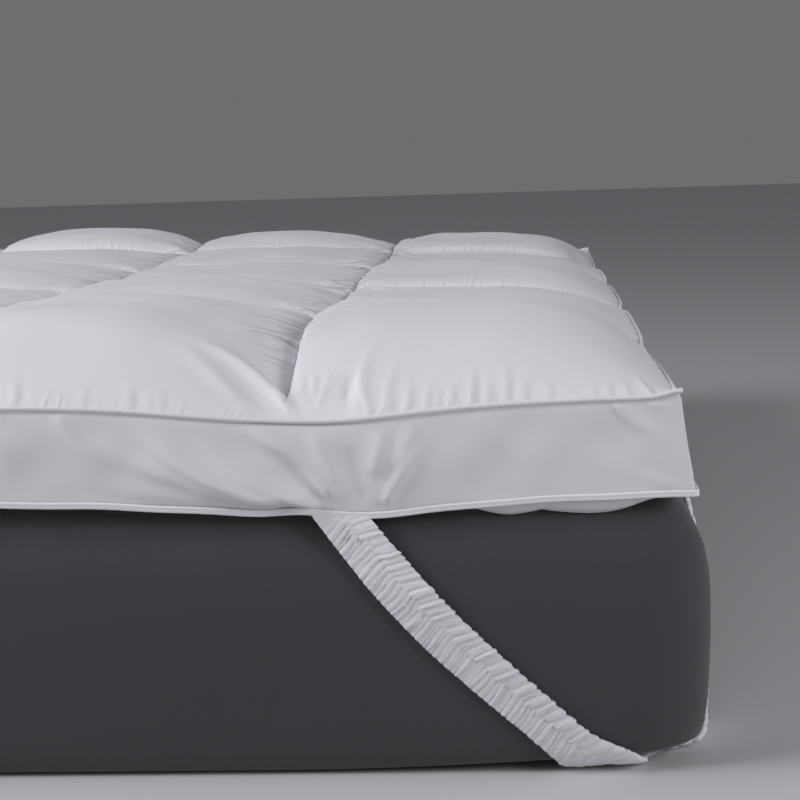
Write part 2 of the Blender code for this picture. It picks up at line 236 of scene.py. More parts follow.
@dataclass(frozen=True)
class TopperMeasures:
    """Sizes of the topper, in metres, and the formulas that its seams and cells follow."""

    top_width: float = 1.480
    top_length: float = 1.980
    bottom_width: float = 1.510
    bottom_length: float = 2.010
    bottom_seam: float = 0.2700
    box_height: float = 0.0905
    columns: int = 4
    rows: int = 5
    channel_height: float = 0.028
    channel_fade: float = 0.12
    # fullness and steepness of a cell at a channel on its left, on its right and across the bed
    left_swell: tuple[float, float] = (4.5, 0.38)
    right_swell: tuple[float, float] = (2.0, 0.75)
    row_swell: tuple[float, float] = (3.5, 0.45)
    edge_swell: tuple[float, float] = (2.3, 0.90)
    seam_draw: float = 0.005
    seam_spread: float = 0.05
    draw_fade: int = 12
    side_bulge: float = 0.004
    bulge_reach: float = 0.20
    ear_out: float = 0.0025
    ear_up: float = 0.006
    ear_reach: float = 0.016
    strap_pull: float = 0.315
    strap_near: float = 0.115
    strap_far: float = 0.20
    strap_dip: float = 0.0170
    top_pull: float = 0.340
    top_near: float = 0.135
    top_far: float = 0.168
    top_dip: float = 0.0203
    pull_reach: float = 0.10
    side_share: float = 0.5
    channel_dip: float = 0.006
    # beyond a strap the bottom seam comes up a little: distance from the corner, reach, height
    seam_rise: tuple[float, float, float] = (0.372, 0.030, 0.0035)
    # crown of each cell above the top seam: a row of cells a line, from the foot to the head
    crowns: tuple[tuple[float, ...], ...] = (
        (0.083, 0.086, 0.081, 0.073),
        (0.075, 0.064, 0.067, 0.041),
        (0.074, 0.068, 0.054, 0.053),
        (0.070, 0.062, 0.055, 0.029),
        (0.068, 0.082, 0.065, 0.052),
    )

    def draw(self, share: Array, cells: int) -> Array:
        """1 where a sewn channel ends at the edge, fading between channels.

        Args:
            share: places along the edge, from -1 to 1.
            cells: cells along it.

        Returns:
            The share of the full draw.
        """
        size = (self.top_width / self.columns + self.top_length / self.rows) / 2
        place = (share + 1) / 2 * cells
        return sum(bell((place - k) * size / self.seam_spread) for k in range(1, cells))

    @staticmethod
    def side_pull(share: Array, half: float, middle: float, near: float, far: float) -> Array:
        """Pull of the two straps of one side, at places along it from -1 to 1.

        Args:
            share: places along the side.
            half: half its length.
            middle: distance of a strap's middle from its corner.
            near: reach of the pull towards the corner.
            far: reach of the pull away from it.

        Returns:
            The share of the full pull.
        """
        total = np.zeros_like(share)
        for end in (-1, 1):
            way = half * (1 + end * share) - middle
            total += np.where(way < 0, 1 / (1 + (way / near) ** 2), bell(way / far))
        return total

    def edge_height(self, u: Array, v: Array) -> Array:
        """Height that the top seam gives the panel, from straps, channels and corner ears.

        Args:
            u: from -1 to 1 across the bed.
            v: from -1 to 1 along it.

        Returns:
            Metres above the floor.
        """
        half_x, half_y = self.top_width / 2, self.top_length / 2
        from_side, from_end = half_x * (1 - abs(u)), half_y * (1 - abs(v))
        end = self.top_dip * self.side_pull(u, half_x, self.top_pull, self.top_near, self.top_far)
        end += self.channel_dip * bell(u * half_x / self.seam_spread)
        side = self.top_dip * self.side_pull(v, half_y, self.top_pull, self.top_near, self.top_far)
        side += self.channel_dip * bell((abs(v) - 1 / self.rows) * half_y / self.seam_spread)
        pull = end * np.exp(-from_end / self.pull_reach)
        pull += self.side_share * side * np.exp(-from_side / self.pull_reach)
        ear = self.ear_up * bell(np.hypot(from_side, from_end) / self.ear_reach)
        return self.bottom_seam + self.box_height - pull + ear

    def swell(self, offset: Array, cell: Array, cells: int, first: tuple, last: tuple) -> Array:
        """Crown of a cell across one direction: 1 in its middle, 0 at its two borders.

        Args:
            offset: place across the cell, from -1 to 1.
            cell: number of the cell in its direction.
            cells: how many there are.
            first: fullness and steepness at the channel on its first side.
            last: the same on its last side.

        Returns:
            The share of the crown.
        """
        at_edge = np.where(offset > 0, cell == cells - 1, cell == 0)
        shape = [
            np.where(at_edge, edge, np.where(offset > 0, after, before))
            for edge, after, before in zip(self.edge_swell, last, first)
        ]
        return np.maximum(0, 1 - abs(offset) ** shape[0]) ** shape[1]

    def panel(self, u: Array, v: Array) -> Array:
        """Points of the quilted top panel at (u, v), both from -1 to 1, as (..., 3).

        Args:
            u: from -1 to 1 across the bed.
            v: from -1 to 1 along it.

        Returns:
            The points.
        """
        half_x, half_y = self.top_width / 2, self.top_length / 2
        x = half_x * u - np.sign(u) * self.seam_draw * self.draw(v, self.rows) * abs(u) ** self.draw_fade
        y = half_y * v - np.sign(v) * self.seam_draw * self.draw(u, self.columns) * abs(v) ** self.draw_fade
        ear = self.ear_out * bell(
            np.hypot(half_x * (1 - abs(u)), half_y * (1 - abs(v))) / self.ear_reach
        )
        column = np.clip(((u + 1) / 2 * self.columns).astype(int), 0, self.columns - 1)
        row = np.clip(((v + 1) / 2 * self.rows).astype(int), 0, self.rows - 1)
        across = (u + 1) * self.columns - 2 * column - 1
        along = (v + 1) * self.rows - 2 * row - 1
        crown = self.swell(across, column, self.columns, self.left_swell, self.right_swell)
        crown = crown * self.swell(along, row, self.rows, self.row_swell, self.row_swell)
        channel = self.channel_height * np.ones_like(u)
        for way in (half_x * (1 - abs(u)), half_y * (1 - abs(v))):
            channel = channel * (1 - bell(way / self.channel_fade))
        height = channel + (np.asarray(self.crowns)[row, column] - channel) * crown
        z = self.edge_height(u, v) + height
        return np.stack((x + np.sign(u) * ear, y + np.sign(v) * ear, z), axis=-1)

    def strap_share(self, u: Array, v: Array) -> Array:
        """1 where a strap pulls on the edge, 0 away from it.

        Args:
            u: from -1 to 1 across the bed.
            v: from -1 to 1 along it.

        Returns:
            The share of the full pull.
        """
        ends = self.side_pull(u, self.bottom_width / 2, self.strap_pull, self.strap_near, self.strap_far)
        sides = self.side_pull(v, self.bottom_length / 2, self.strap_pull, self.strap_near, self.strap_far)
        return np.minimum(1, np.where(abs(v) == 1, ends, sides))

    def bottom(self, u: Array, v: Array) -> Array:
        """Points of the bottom seam at edge places.

        Args:
            u: from -1 to 1 across the bed.
            v: from -1 to 1 along it.

        Returns:
            The points, as (..., 3).
        """
        height = self.bottom_seam - self.strap_dip * self.strap_share(u, v)
        place, reach, amount = self.seam_rise
        way = self.corner_way(u, v)
        height = height + amount * bell((way - place) / reach) + 0.0004 * np.sin(way / 0.017)
        return np.stack((self.bottom_width / 2 * u, self.bottom_length / 2 * v, height), axis=-1)

    def corner_way(self, u: Array, v: Array) -> Array:
        """Distance along the edge from the nearest corner."""
        return self.bottom_width / 2 * (1 - abs(u)) + self.bottom_length / 2 * (1 - abs(v))


@dataclass(frozen=True)
class EdgeRun:
    """Places once round the edge, from the foot's left corner, each with its outward direction."""

    step: float = 0.004
    turn: float = 0.7

    def places(self, sizes: TopperMeasures) -> tuple[Array, Array]:
        """The (u, v) of each place, evenly spaced along each side of the edge.

        Args:
            sizes: the topper's sizes.

        Returns:
            u and v, once round.
        """
        runs = []
        for length in (sizes.bottom_width, sizes.bottom_length):
            count = int(round(length / self.step))
            t = np.arange(count) / count
            runs.append(2 * t - 1)
        us, vs = runs
        u = np.concatenate((us, np.ones_like(vs), -us, -np.ones_like(vs)))
        v = np.concatenate((-np.ones_like(us), vs, np.ones_like(us), -vs))
        return u, v

    def outward(self, u: Array, v: Array) -> Array:
        """Direction out of the topper at each place, a little short at a corner, to round it.

        Args:
            u: from -1 to 1 across the bed.
            v: from -1 to 1 along it.

        Returns:
            The directions, as (..., 3).
        """
        x = np.where(abs(u) == 1, u, 0.0)
        y = np.where(abs(v) == 1, v, 0.0)
        short = np.where((abs(u) == 1) & (abs(v) == 1), self.turn, 1.0)
        return np.stack((x * short, y * short, np.zeros_like(x)), axis=-1)


# ---------------------------------------------------------------- folds in cloth


@dataclass(frozen=True)
class Crease:
    """A fold along a line of a few places, steep on one side and soft on the other.

    Each place is (along, away): distance along the edge from the nearest corner, and distance
    in from the edge, or for a boxed side the share of its height. A fold whose places run from
    the seam inwards is steep on the side away from the corner.

    Attributes:
        line: places of its crest, from its sharp end to its soft end.
        steep: half width of its steep side at both ends.
        soft: half width of its soft side at both ends.
        height: metres out of the surface, negative for a fold that is sunk.
        start_fade: share of its length over which it rises from nothing.
        end_fade: share of its length over which it dies away.
    """

    line: tuple[tuple[float, float], ...]
    steep: tuple[float, float]
    soft: tuple[float, float]
    height: float
    start_fade: float = 0.10
    end_fade: float = 0.60

    def relief(self, along: Array, away: Array, away_scale: float = 1.0) -> Array:
        """Height of the fold at each place.

        Args:
            along: distance along the edge from the nearest corner.
            away: the second coordinate of the places.
            away_scale: metres for one unit of the second coordinate.

        Returns:
            Metres out of the surface.
        """
        knots = np.asarray(self.line) * (1.0, away_scale)
        steps = np.linalg.norm(np.diff(knots, axis=0), axis=1)
        ways = np.concatenate(([0.0], np.cumsum(steps)))
        fine = np.linspace(0, ways[-1], 8 * len(knots))
        px, py = (hermite(fine, ways, column) for column in knots.T)
        reach = 3.2 * max(self.steep + self.soft)
        inside = (along > px.min() - reach) & (along < px.max() + reach)
        inside &= (away * away_scale > py.min() - reach) & (away * away_scale < py.max() + reach)
        total = np.zeros_like(along)
        if not inside.any():
            return total
        qx, qy = along[inside], away[inside] * away_scale
        best, off, t = np.full_like(qx, 9.0), np.zeros_like(qx), np.zeros_like(qx)
        for k in range(len(fine) - 1):
            dx, dy = px[k + 1] - px[k], py[k + 1] - py[k]
            length = math.hypot(dx, dy)
            ax, ay = qx - px[k], qy - py[k]
            low = -0.6 if k == 0 else 0.0
            high = 1.6 if k == len(fine) - 2 else 1.0
            s = np.clip((ax * dx + ay * dy) / length ** 2, low, high)
            gap = np.hypot(ax - s * dx, ay - s * dy)
            near = gap < best
            best = np.where(near, gap, best)
            off = np.where(near, gap * np.sign(ax * dy - ay * dx), off)
            t = np.where(near, (k + s) / (len(fine) - 1), t)
        share = np.clip(t, 0, 1)
        steep = self.steep[0] + (self.steep[1] - self.steep[0]) * share
        soft = self.soft[0] + (self.soft[1] - self.soft[0]) * share
        fade = rise((t + 0.02) / self.start_fade) * rise((1.02 - t) / self.end_fade)
        total[inside] = self.height * fade * bell(off / np.where(off > 0, steep, soft))
        return total


@dataclass(frozen=True)
class Gathers:
    """Cloth gathered by a seam: round ridges with sharp troughs between, drawn from a seed.

    Attributes:
        pitch: usual distance between two ridges along the seam.
        reach: how far a ridge runs from the seam, at least and at most.
        height: height of a ridge, at least and at most.
        lean: how far the ridges lean over, as a slope.
        fullness: how flat the ridges are, and so how narrow the troughs between them.
    """

    pitch: float
    reach: tuple[float, float]
    height: tuple[float, float]
    lean: float = 0.25
    fullness: float = 3.2

    def relief(self, along: Array, away: Array, span: tuple[float, float], seed: int, share: Array) -> Array:
        """Height of the ridges at each place.

        Args:
            along: place along the seam, in metres.
            away: distance from the seam.
            span: where the seam starts and ends.
            seed: seed of the ridges.
            share: how much of their full reach they have here, from 0 to 1.

        Returns:
            Metres out of the surface.
        """
        rng = np.random.default_rng(seed)
        count = int((span[1] - span[0]) / self.pitch) + 8
        places = span[0] - 3 * self.pitch + np.cumsum(rng.uniform(0.55, 1.45, count)) * self.pitch
        reach = rng.uniform(*self.reach, count)
        height = rng.uniform(*self.height, count)
        lean = self.lean * rng.uniform(-1, 1)
        at = along - lean * away + 0.10 * self.pitch * np.sin(away / 0.013 + seed)
        k = np.clip(np.searchsorted(places, at) - 1, 0, count - 2)
        t = 2 * (at - places[k]) / (places[k + 1] - places[k]) - 1
        ridge = np.maximum(0, 1 - abs(t) ** self.fullness)
        way = fading(away, reach[k] * np.maximum(share, 0.05))
        return height[k] * ridge * way ** 1.3 * rise(away / 0.007) * np.minimum(1, share * 2)


@dataclass(frozen=True)
class Pucker:
    """One small fold that starts at a piping seam.

    Attributes:
        place: distance of its foot from the nearest corner.
        reach: how far it runs from the seam.
        height: height where it is fullest.
        lean: slope of its line from the seam.
    """

    place: float
    reach: float
    height: float
    lean: float = 0.0

    def relief(self, along: Array, away: Array, width: float = 0.0024) -> Array:
        """Height of the fold at each place, a narrow ridge beside a shallow trough.

        Args:
            along: distance along the edge from the nearest corner.
            away: distance from the seam.
            width: half width of the ridge at its foot.

        Returns:
            Metres out of the surface.
        """
        t = away / self.reach
        off = (along - self.place - self.lean * away) / (width * (1 + 1.1 * np.clip(t, 0, 1)))
        fade = rise(away / (0.16 * self.reach) + 0.15) * rise((1 - t) * 1.2)
        return self.height * fade * (bell(off) - 0.4 * bell((off + 1.6) / 1.7))


# ---------------------------------------------------------------- shader groups


class NodeTree:
    """What a shader group and a Geometry Nodes tree share: making nodes and joining them."""

    tree: bpy.types.NodeTree

    def node(self, kind: str, **settings: object) -> bpy.types.Node:
        """A new node in the tree, with these properties set.

        Args:
            kind: type of the node.
            **settings: its properties by name.

        Returns:
            The node.
        """
        made = self.tree.nodes.new(kind)
        for label, value in settings.items():
            setattr(made, label, value)
        return made

    def link(self, start: bpy.types.NodeSocket, end: bpy.types.NodeSocket) -> None:
        """Joins two sockets."""
        self.tree.links.new(start, end)

    def feed(self, made: bpy.types.Node, inputs: dict) -> bpy.types.Node:
        """Gives a node's inputs, by name or number, a socket to read or a fixed value.

        Args:
            made: the node.
            inputs: what each input reads or holds.

        Returns:
            The same node.
        """
        for label, value in inputs.items():
            if isinstance(value, bpy.types.NodeSocket):
                self.link(value, made.inputs[label])
            elif value is not None:
                made.inputs[label].default_value = value
        return made

    def math(self, operation: str, *terms: object) -> bpy.types.NodeSocket:
        """Result of a Math node on sockets or numbers."""
        return self.feed(self.node("ShaderNodeMath", operation=operation), dict(enumerate(terms))).outputs[0]


class ShaderTree(NodeTree):
    """A shader tree that is there already, as a material or the world has one."""

    def __init__(self, tree: bpy.types.NodeTree) -> None:
        """Takes the tree over."""
        self.tree = tree

    def noise(self, vector: bpy.types.NodeSocket, scale: float, detail: float) -> bpy.types.NodeSocket:
        """A noise read at a place."""
        made = self.node("ShaderNodeTexNoise")
        return self.feed(made, {"Scale": scale, "Detail": detail, "Vector": vector}).outputs["Fac"]

    def group(self, inner: "NodeGroup", inputs: dict) -> bpy.types.Node:
        """A node that runs a node group on these inputs."""
        return self.feed(self.node("ShaderNodeGroup", node_tree=inner.tree), inputs)


class NodeGroup(ShaderTree):
    """A shader node group with named inputs and outputs, built once."""

    def __init__(self, name: str, inputs: dict[str, tuple[str, float]], outputs: dict[str, str]) -> None:
        """Makes the group's tree and its sockets.

        Args:
            name: name of the group.
            inputs: socket type and default value, by name.
            outputs: socket type by name.
        """
        super().__init__(bpy.data.node_groups.new(name, "ShaderNodeTree"))
        for label, (kind, value) in inputs.items():
            socket = self.tree.interface.new_socket(label, in_out="INPUT", socket_type=kind)
            if kind == "NodeSocketFloat":
                socket.default_value = value
        for label, kind in outputs.items():
            self.tree.interface.new_socket(label, in_out="OUTPUT", socket_type=kind)
        self.source = self.tree.nodes.new("NodeGroupInput")
        self.sink = self.tree.nodes.new("NodeGroupOutput")


def weave_group() -> NodeGroup:
    """Plain weave with slubs: a height and a faint tint, from a place in metres.

    Returns:
        The group, with the outputs Height and Tint.
    """
    group = NodeGroup(
        "woven_cloth",
        {"Vector": ("NodeSocketVector", 0.0), "Threads": ("NodeSocketFloat", 900.0)},
        {"Height": "NodeSocketFloat", "Tint": "NodeSocketFloat"},
    )
    vector, threads = group.source.outputs["Vector"], group.source.outputs["Threads"]
    parts = group.feed(group.node("ShaderNodeSeparateXYZ"), {0: vector})
    waves = [group.math("SINE", group.math("MULTIPLY", parts.outputs[axis], threads)) for axis in "XYZ"]
    crossed = group.math("ADD", group.math("MULTIPLY", waves[0], waves[1]), waves[2])
    slubs = group.noise(vector, scale=420.0, detail=3.0)
    height = group.math("MULTIPLY", crossed, 0.25)
    group.feed(group.sink, {
        "Height": group.math("ADD", height, slubs), "Tint": group.noise(vector, scale=9.0, detail=4.0),
    })
    return group


def gather_group() -> NodeGroup:
    """Fine gathers beside a seam, from a place along it and their strength there.

    Returns:
        The group, with the output Height.
    """
    group = NodeGroup(
        "seam_gathers",
        {
            "Vector": ("NodeSocketVector", 0.0),
            "Run": ("NodeSocketFloat", 0.0),
            "Strength": ("NodeSocketFloat", 0.0),
            "Pitch": ("NodeSocketFloat", 0.0085),
        },
        {"Height": "NodeSocketFloat"},
    )
    vector, run, strength, pitch = (
        group.source.outputs[label] for label in ("Vector", "Run", "Strength", "Pitch")
    )
    wander = group.math("MULTIPLY", group.noise(vector, scale=22.0, detail=1.0), 0.030)
    place = group.math("DIVIDE", group.math("ADD", run, wander), pitch)
    ridges = group.node("ShaderNodeTexVoronoi", voronoi_dimensions="1D", feature="DISTANCE_TO_EDGE")
    luck = group.node("ShaderNodeTexVoronoi", voronoi_dimensions="1D")
    for cells in (ridges, luck):
        group.feed(cells, {"Scale": 1.0, "Randomness": 0.8, "W": place})
    parts = group.feed(group.node("ShaderNodeSeparateColor"), {"Color": luck.outputs["Color"]})
    round_top = group.math("MINIMUM", group.math("MULTIPLY", ridges.outputs["Distance"], 2.4), 1.0)
    ridge = group.math("POWER", round_top, 0.6)
    left = group.math("SUBTRACT", strength, group.math("MULTIPLY", parts.outputs["Red"], 0.55))
    height = group.math("MULTIPLY", ridge, group.math("MAXIMUM", left, 0.0))
    group.feed(group.sink, {"Height": height})
    return group


# ---------------------------------------------------------------- finishes


@dataclass(frozen=True)
class FineGathers:
    """The finest gathers beside seams of one direction, which are a bump in the cloth's shading.

    Attributes:
        strengths: name of the numbers on the panel's points that say how strong they are there.
        axis: the axis that they follow each other along.
        across: the axis away from their seams.
        lean: slope by which they lean over along the first axis.
        pitch: usual distance between two of them, in metres.
        share: their height against the crosswise ones.
    """

    strengths: str
    axis: str
    across: str
    lean: float
    pitch: float
    share: float


LENGTHWISE_FINE = FineGathers("lengthwise_gathers", "Y", "X", -0.5, 0.018, 3.0)
CROSSWISE_FINE = FineGathers("crosswise_gathers", "X", "Y", 0.0, 0.0085, 1.0)


@dataclass(frozen=True)
class ClothFinish:
    """A cloth's colour, gloss and weave.

    Attributes:
        name: name of the material.
        colour: its middle colour, linear.
        roughness: roughness of its surface.
        sheen: weight of the soft light on its edges.
        threads: pace of its weave, in radians for a metre.
        weave_depth: height of the weave, in metres.
        mottle: how far its colour varies.
        gather_depth: height of the fine gathers beside its seams, in metres.
    """

    name: str
    colour: tuple[float, float, float]
    roughness: float
    sheen: float
    threads: float
    weave_depth: float
    mottle: float
    gather_depth: float = 0.0

    def material(self, weave: NodeGroup, gathers: NodeGroup) -> bpy.types.Material:
        """Builds the material.

        Args:
            weave: the weave's node group.
            gathers: the node group of the fine gathers.

        Returns:
            The new material.
        """
        made = bpy.data.materials.new(self.name)
        made.use_nodes = True
        tree = ShaderTree(made.node_tree)
        place = tree.node("ShaderNodeTexCoord").outputs["Object"]
        cloth = tree.group(weave, {"Threads": self.threads, "Vector": place})
        shade = tree.feed(tree.node("ShaderNodeMix", data_type="RGBA"), {
            "A": (*(c * (1 - self.mottle) for c in self.colour), 1.0),
            "B": (*(min(1.0, c * (1 + self.mottle)) for c in self.colour), 1.0),
            "Factor": cloth.outputs["Tint"],
        })
        bump = tree.feed(tree.node("ShaderNodeBump"), {
            "Distance": self.weave_depth, "Height": cloth.outputs["Height"],
        })
        if self.gather_depth:
            tree.feed(bump, {"Normal": self.gather_normal(tree, gathers, place)})
        tree.feed(made.node_tree.nodes["Principled BSDF"], {
            "Roughness": self.roughness,
            "Sheen Weight": self.sheen,
            "Sheen Roughness": 0.45,
            "Specular IOR Level": 0.25,
            "Base Color": shade.outputs["Result"],
            "Normal": bump.outputs["Normal"],
        })
        return made

    def gather_normal(
        self, tree: ShaderTree, gathers: NodeGroup, place: bpy.types.NodeSocket
    ) -> bpy.types.NodeSocket:
        """Bumps the surface by the fine gathers of both directions of seams.

        Args:
            tree: the material's tree.
            gathers: the node group of the fine gathers.
            place: place in the piece.

        Returns:
            The bumped normal.
        """
        parts = tree.feed(tree.node("ShaderNodeSeparateXYZ"), {0: place}).outputs
        heights = []
        for seams in (LENGTHWISE_FINE, CROSSWISE_FINE):
            strength = tree.node("ShaderNodeAttribute", attribute_name=seams.strengths)
            folds = tree.group(gathers, {
                "Vector": place,
                "Run": tree.math("MULTIPLY_ADD", parts[seams.across], seams.lean, parts[seams.axis]),
                "Pitch": seams.pitch,
                "Strength": strength.outputs["Fac"],
            })
            heights.append(folds.outputs["Height"])
        total = tree.math("MULTIPLY_ADD", heights[0], LENGTHWISE_FINE.share, heights[1])
        under = tree.node("ShaderNodeBump")
        return tree.feed(under, {"Distance": self.gather_depth, "Height": total}).outputs["Normal"]


@dataclass
class Wardrobe:
    """Every finish of the bed, made once."""

    topper: ClothFinish = ClothFinish(
        "white_microfibre", (0.84, 0.84, 0.870), 0.60, 0.18, 5200.0, 0.00003, 0.010, 0.0022
    )
    # the boxed side is the panel's white cloth made darker: painted shade of the upright side, which takes
    # less light than the top
    box: ClothFinish = ClothFinish(
        "white_boxed_side_painted_shade", (0.73, 0.73, 0.745), 0.62, 0.15, 5200.0, 0.00003, 0.010
    )
    binding: ClothFinish = ClothFinish(
        "white_binding", (0.84, 0.84, 0.86), 0.55, 0.15, 5200.0, 0.00005, 0.010
    )
    elastic: ClothFinish = ClothFinish(
        "ruched_white_cloth", (0.79, 0.79, 0.825), 0.66, 0.20, 5200.0, 0.00005, 0.015
    )
    thread: ClothFinish = ClothFinish(
        "white_thread", (0.80, 0.80, 0.82), 0.50, 0.10, 9000.0, 0.00003, 0.010
    )
    charcoal: ClothFinish = ClothFinish(
        "charcoal_mattress_cloth", (0.059, 0.0565, 0.063), 0.78, 0.30, 2600.0, 0.00010, 0.05
    )
    made: dict[str, bpy.types.Material] = field(default_factory=dict)

    def dress(self) -> None:
        """Makes the materials."""
        weave, gathers = weave_group(), gather_group()
        for finish in (self.topper, self.box, self.binding, self.elastic, self.thread, self.charcoal):
            self.made[finish.name] = finish.material(weave, gathers)

    def of(self, finish: ClothFinish) -> bpy.types.Material:
        """The material of one finish."""
        return self.made[finish.name]


# ---------------------------------------------------------------- geometry node trees


class GeometryTree(NodeTree):
    """A Geometry Nodes tree with named inputs, and the way to run it on a mesh."""

    def __init__(self, name: str, numbers: Sequence[str]) -> None:
        """Makes the tree.

        Args:
            name: name of the tree.
            numbers: names of its number inputs, beside the geometry and the material.
        """
        self.tree = bpy.data.node_groups.new(name, "GeometryNodeTree")
        self.tree.interface.new_socket("Geometry", in_out="INPUT", socket_type="NodeSocketGeometry")
        for label in numbers:
            self.tree.interface.new_socket(label, in_out="INPUT", socket_type="NodeSocketFloat")
        self.tree.interface.new_socket("Material", in_out="INPUT", socket_type="NodeSocketMaterial")
        self.tree.interface.new_socket("Geometry", in_out="OUTPUT", socket_type="NodeSocketGeometry")
        self.source = self.tree.nodes.new("NodeGroupInput")
        self.sink = self.tree.nodes.new("NodeGroupOutput")

    def geometry(self, kind: str, inputs: dict, **settings: object) -> bpy.types.NodeSocket:
        """First output of a new node with these inputs."""
        return self.feed(self.node(kind, **settings), inputs).outputs[0]

    def line(self) -> bpy.types.NodeSocket:
        """The guide as a curve."""
        return self.geometry("GeometryNodeMeshToCurve", {"Mesh": self.source.outputs["Geometry"]})

    def end(self, last: bpy.types.NodeSocket) -> None:
        """Realizes what the tree has made, gives it its material and puts it out.

        Args:
            last: the geometry that the tree has made.
        """
        real = self.geometry("GeometryNodeRealizeInstances", {"Geometry": last})
        material = self.source.outputs["Material"]
        painted = self.geometry("GeometryNodeSetMaterial", {"Geometry": real, "Material": material})
        self.feed(self.sink, {"Geometry": painted})

    def run(self, guide: bpy.types.Object, name: str, values: dict[str, object]) -> bpy.types.Object:
        """Runs the tree on a guide and keeps the result as a plain mesh.

        Args:
            guide: the object that the tree reads, which is removed.
            name: name of the new piece.
            values: input values by name.

        Returns:
            The new piece.
        """
        modifier = guide.modifiers.new(self.tree.name, "NODES")
        modifier.node_group = self.tree
        sockets = {
            item.name: item.identifier
            for item in self.tree.interface.items_tree if item.in_out == "INPUT"
        }
        for label, value in values.items():
            modifier[sockets[label]] = value
        depsgraph = bpy.context.evaluated_depsgraph_get()
        depsgraph.update()
        mesh = bpy.data.meshes.new_from_object(guide.evaluated_get(depsgraph))
        guide.modifiers.clear()
        bpy.data.objects.remove(guide)
        mesh.name = name
        if signed_volume(mesh) < 0:
            mesh.flip_normals()
        return put(name, mesh)


def guide_line(points: Array, closed: bool) -> bpy.types.Object:
    """A mesh of one line of edges, for a tree to follow.

    Args:
        points: places along the line.
        closed: whether its end joins its start.

    Returns:
        The guide.
    """
    count = len(points)
    edges = [(k, k + 1) for k in range(count - 1)]
    if closed:
        edges.append((count - 1, 0))
    mesh = bpy.data.meshes.new("guide")
    mesh.from_pydata(points.tolist(), edges, [])
    return put("guide", mesh)


def add_groove(tree: GeometryTree, ring: bpy.types.NodeSocket) -> bpy.types.NodeSocket:
    """Draws in the middle of a cord's profile, where its cloth is sewn down.

    Args:
        tree: the cord tree.
        ring: the round profile.

    Returns:
        The profile with a groove along both flanks.
    """
    given = tree.source.outputs
    parts = tree.feed(
        tree.node("ShaderNodeSeparateXYZ"), {0: tree.node("GeometryNodeInputPosition").outputs[0]}
    ).outputs
    share = tree.math("DIVIDE", parts["Y"], given["Groove Width"])
    depth = tree.math("EXPONENT", tree.math("MULTIPLY", tree.math("MULTIPLY", share, share), -1.0))
    inward = tree.math("MULTIPLY", parts["X"], tree.math("MULTIPLY", depth, given["Groove"]))
    offset = tree.geometry("ShaderNodeCombineXYZ", {"X": tree.math("MULTIPLY", inward, -1.0)})
    return tree.geometry("GeometryNodeSetPosition", {"Geometry": ring, "Offset": offset})


def cord_tree() -> GeometryTree:
    """A cord in its cloth, swept along a line, with a slight ripple of the cloth.

    Returns:
        The tree.
    """
    numbers = ("Radius", "Flatness", "Groove", "Groove Width", "Ripple", "Ripple Size", "Seed")
    tree = GeometryTree("piping_cord", numbers)
    given = tree.source.outputs
    line = tree.geometry("GeometryNodeSetCurveNormal", {"Curve": tree.line()}, mode="Z_UP")
    ring = tree.geometry(
        "GeometryNodeCurvePrimitiveCircle", {"Resolution": CORD_SIDES, "Radius": given["Radius"]}
    )
    size = tree.geometry("ShaderNodeCombineXYZ", {"X": given["Flatness"], "Y": 1.0, "Z": 1.0})
    shape = tree.geometry("GeometryNodeTransform", {"Geometry": add_groove(tree, ring), "Scale": size})
    swept = tree.geometry("GeometryNodeCurveToMesh", {"Curve": line, "Profile Curve": shape})
    noise = tree.feed(
        tree.node("ShaderNodeTexNoise", noise_dimensions="4D"),
        {"Scale": given["Ripple Size"], "W": given["Seed"]},
    )
    height = tree.math("MULTIPLY", tree.math("SUBTRACT", noise.outputs["Fac"], 0.5), given["Ripple"])
    normal = tree.node("GeometryNodeInputNormal").outputs["Normal"]
    moved = tree.geometry("ShaderNodeVectorMath", {0: normal, "Scale": height}, operation="SCALE")
    placed = tree.geometry("GeometryNodeSetPosition", {"Geometry": swept, "Offset": moved})
    tree.end(tree.geometry("GeometryNodeSetShadeSmooth", {"Geometry": placed}))
    return tree


def stitch_tree() -> GeometryTree:
    """A row of stitches along a line, each a short rounded bar.

    Returns:
        The tree.
    """
    tree = GeometryTree("sewn_stitches", ("Step", "Length", "Thickness"))
    given = tree.source.outputs
    even = tree.geometry(
        "GeometryNodeResampleCurve", {"Curve": tree.line(), "Length": given["Step"]}, mode="LENGTH"
    )
    bar = tree.geometry("GeometryNodeMeshUVSphere", {"Segments": 5, "Rings": 4, "Radius": 0.5})
    thick = given["Thickness"]
    size = tree.geometry("ShaderNodeCombineXYZ", {"X": thick, "Y": thick, "Z": given["Length"]})
    tangent = tree.node("GeometryNodeInputTangent").outputs["Tangent"]
    turned = tree.geometry("FunctionNodeAlignRotationToVector", {"Vector": tangent}, axis="Z")
    copies = {"Points": even, "Instance": bar, "Rotation": turned, "Scale": size}
    tree.end(tree.geometry("GeometryNodeInstanceOnPoints", copies))
    return tree


# ---------------------------------------------------------------- topper


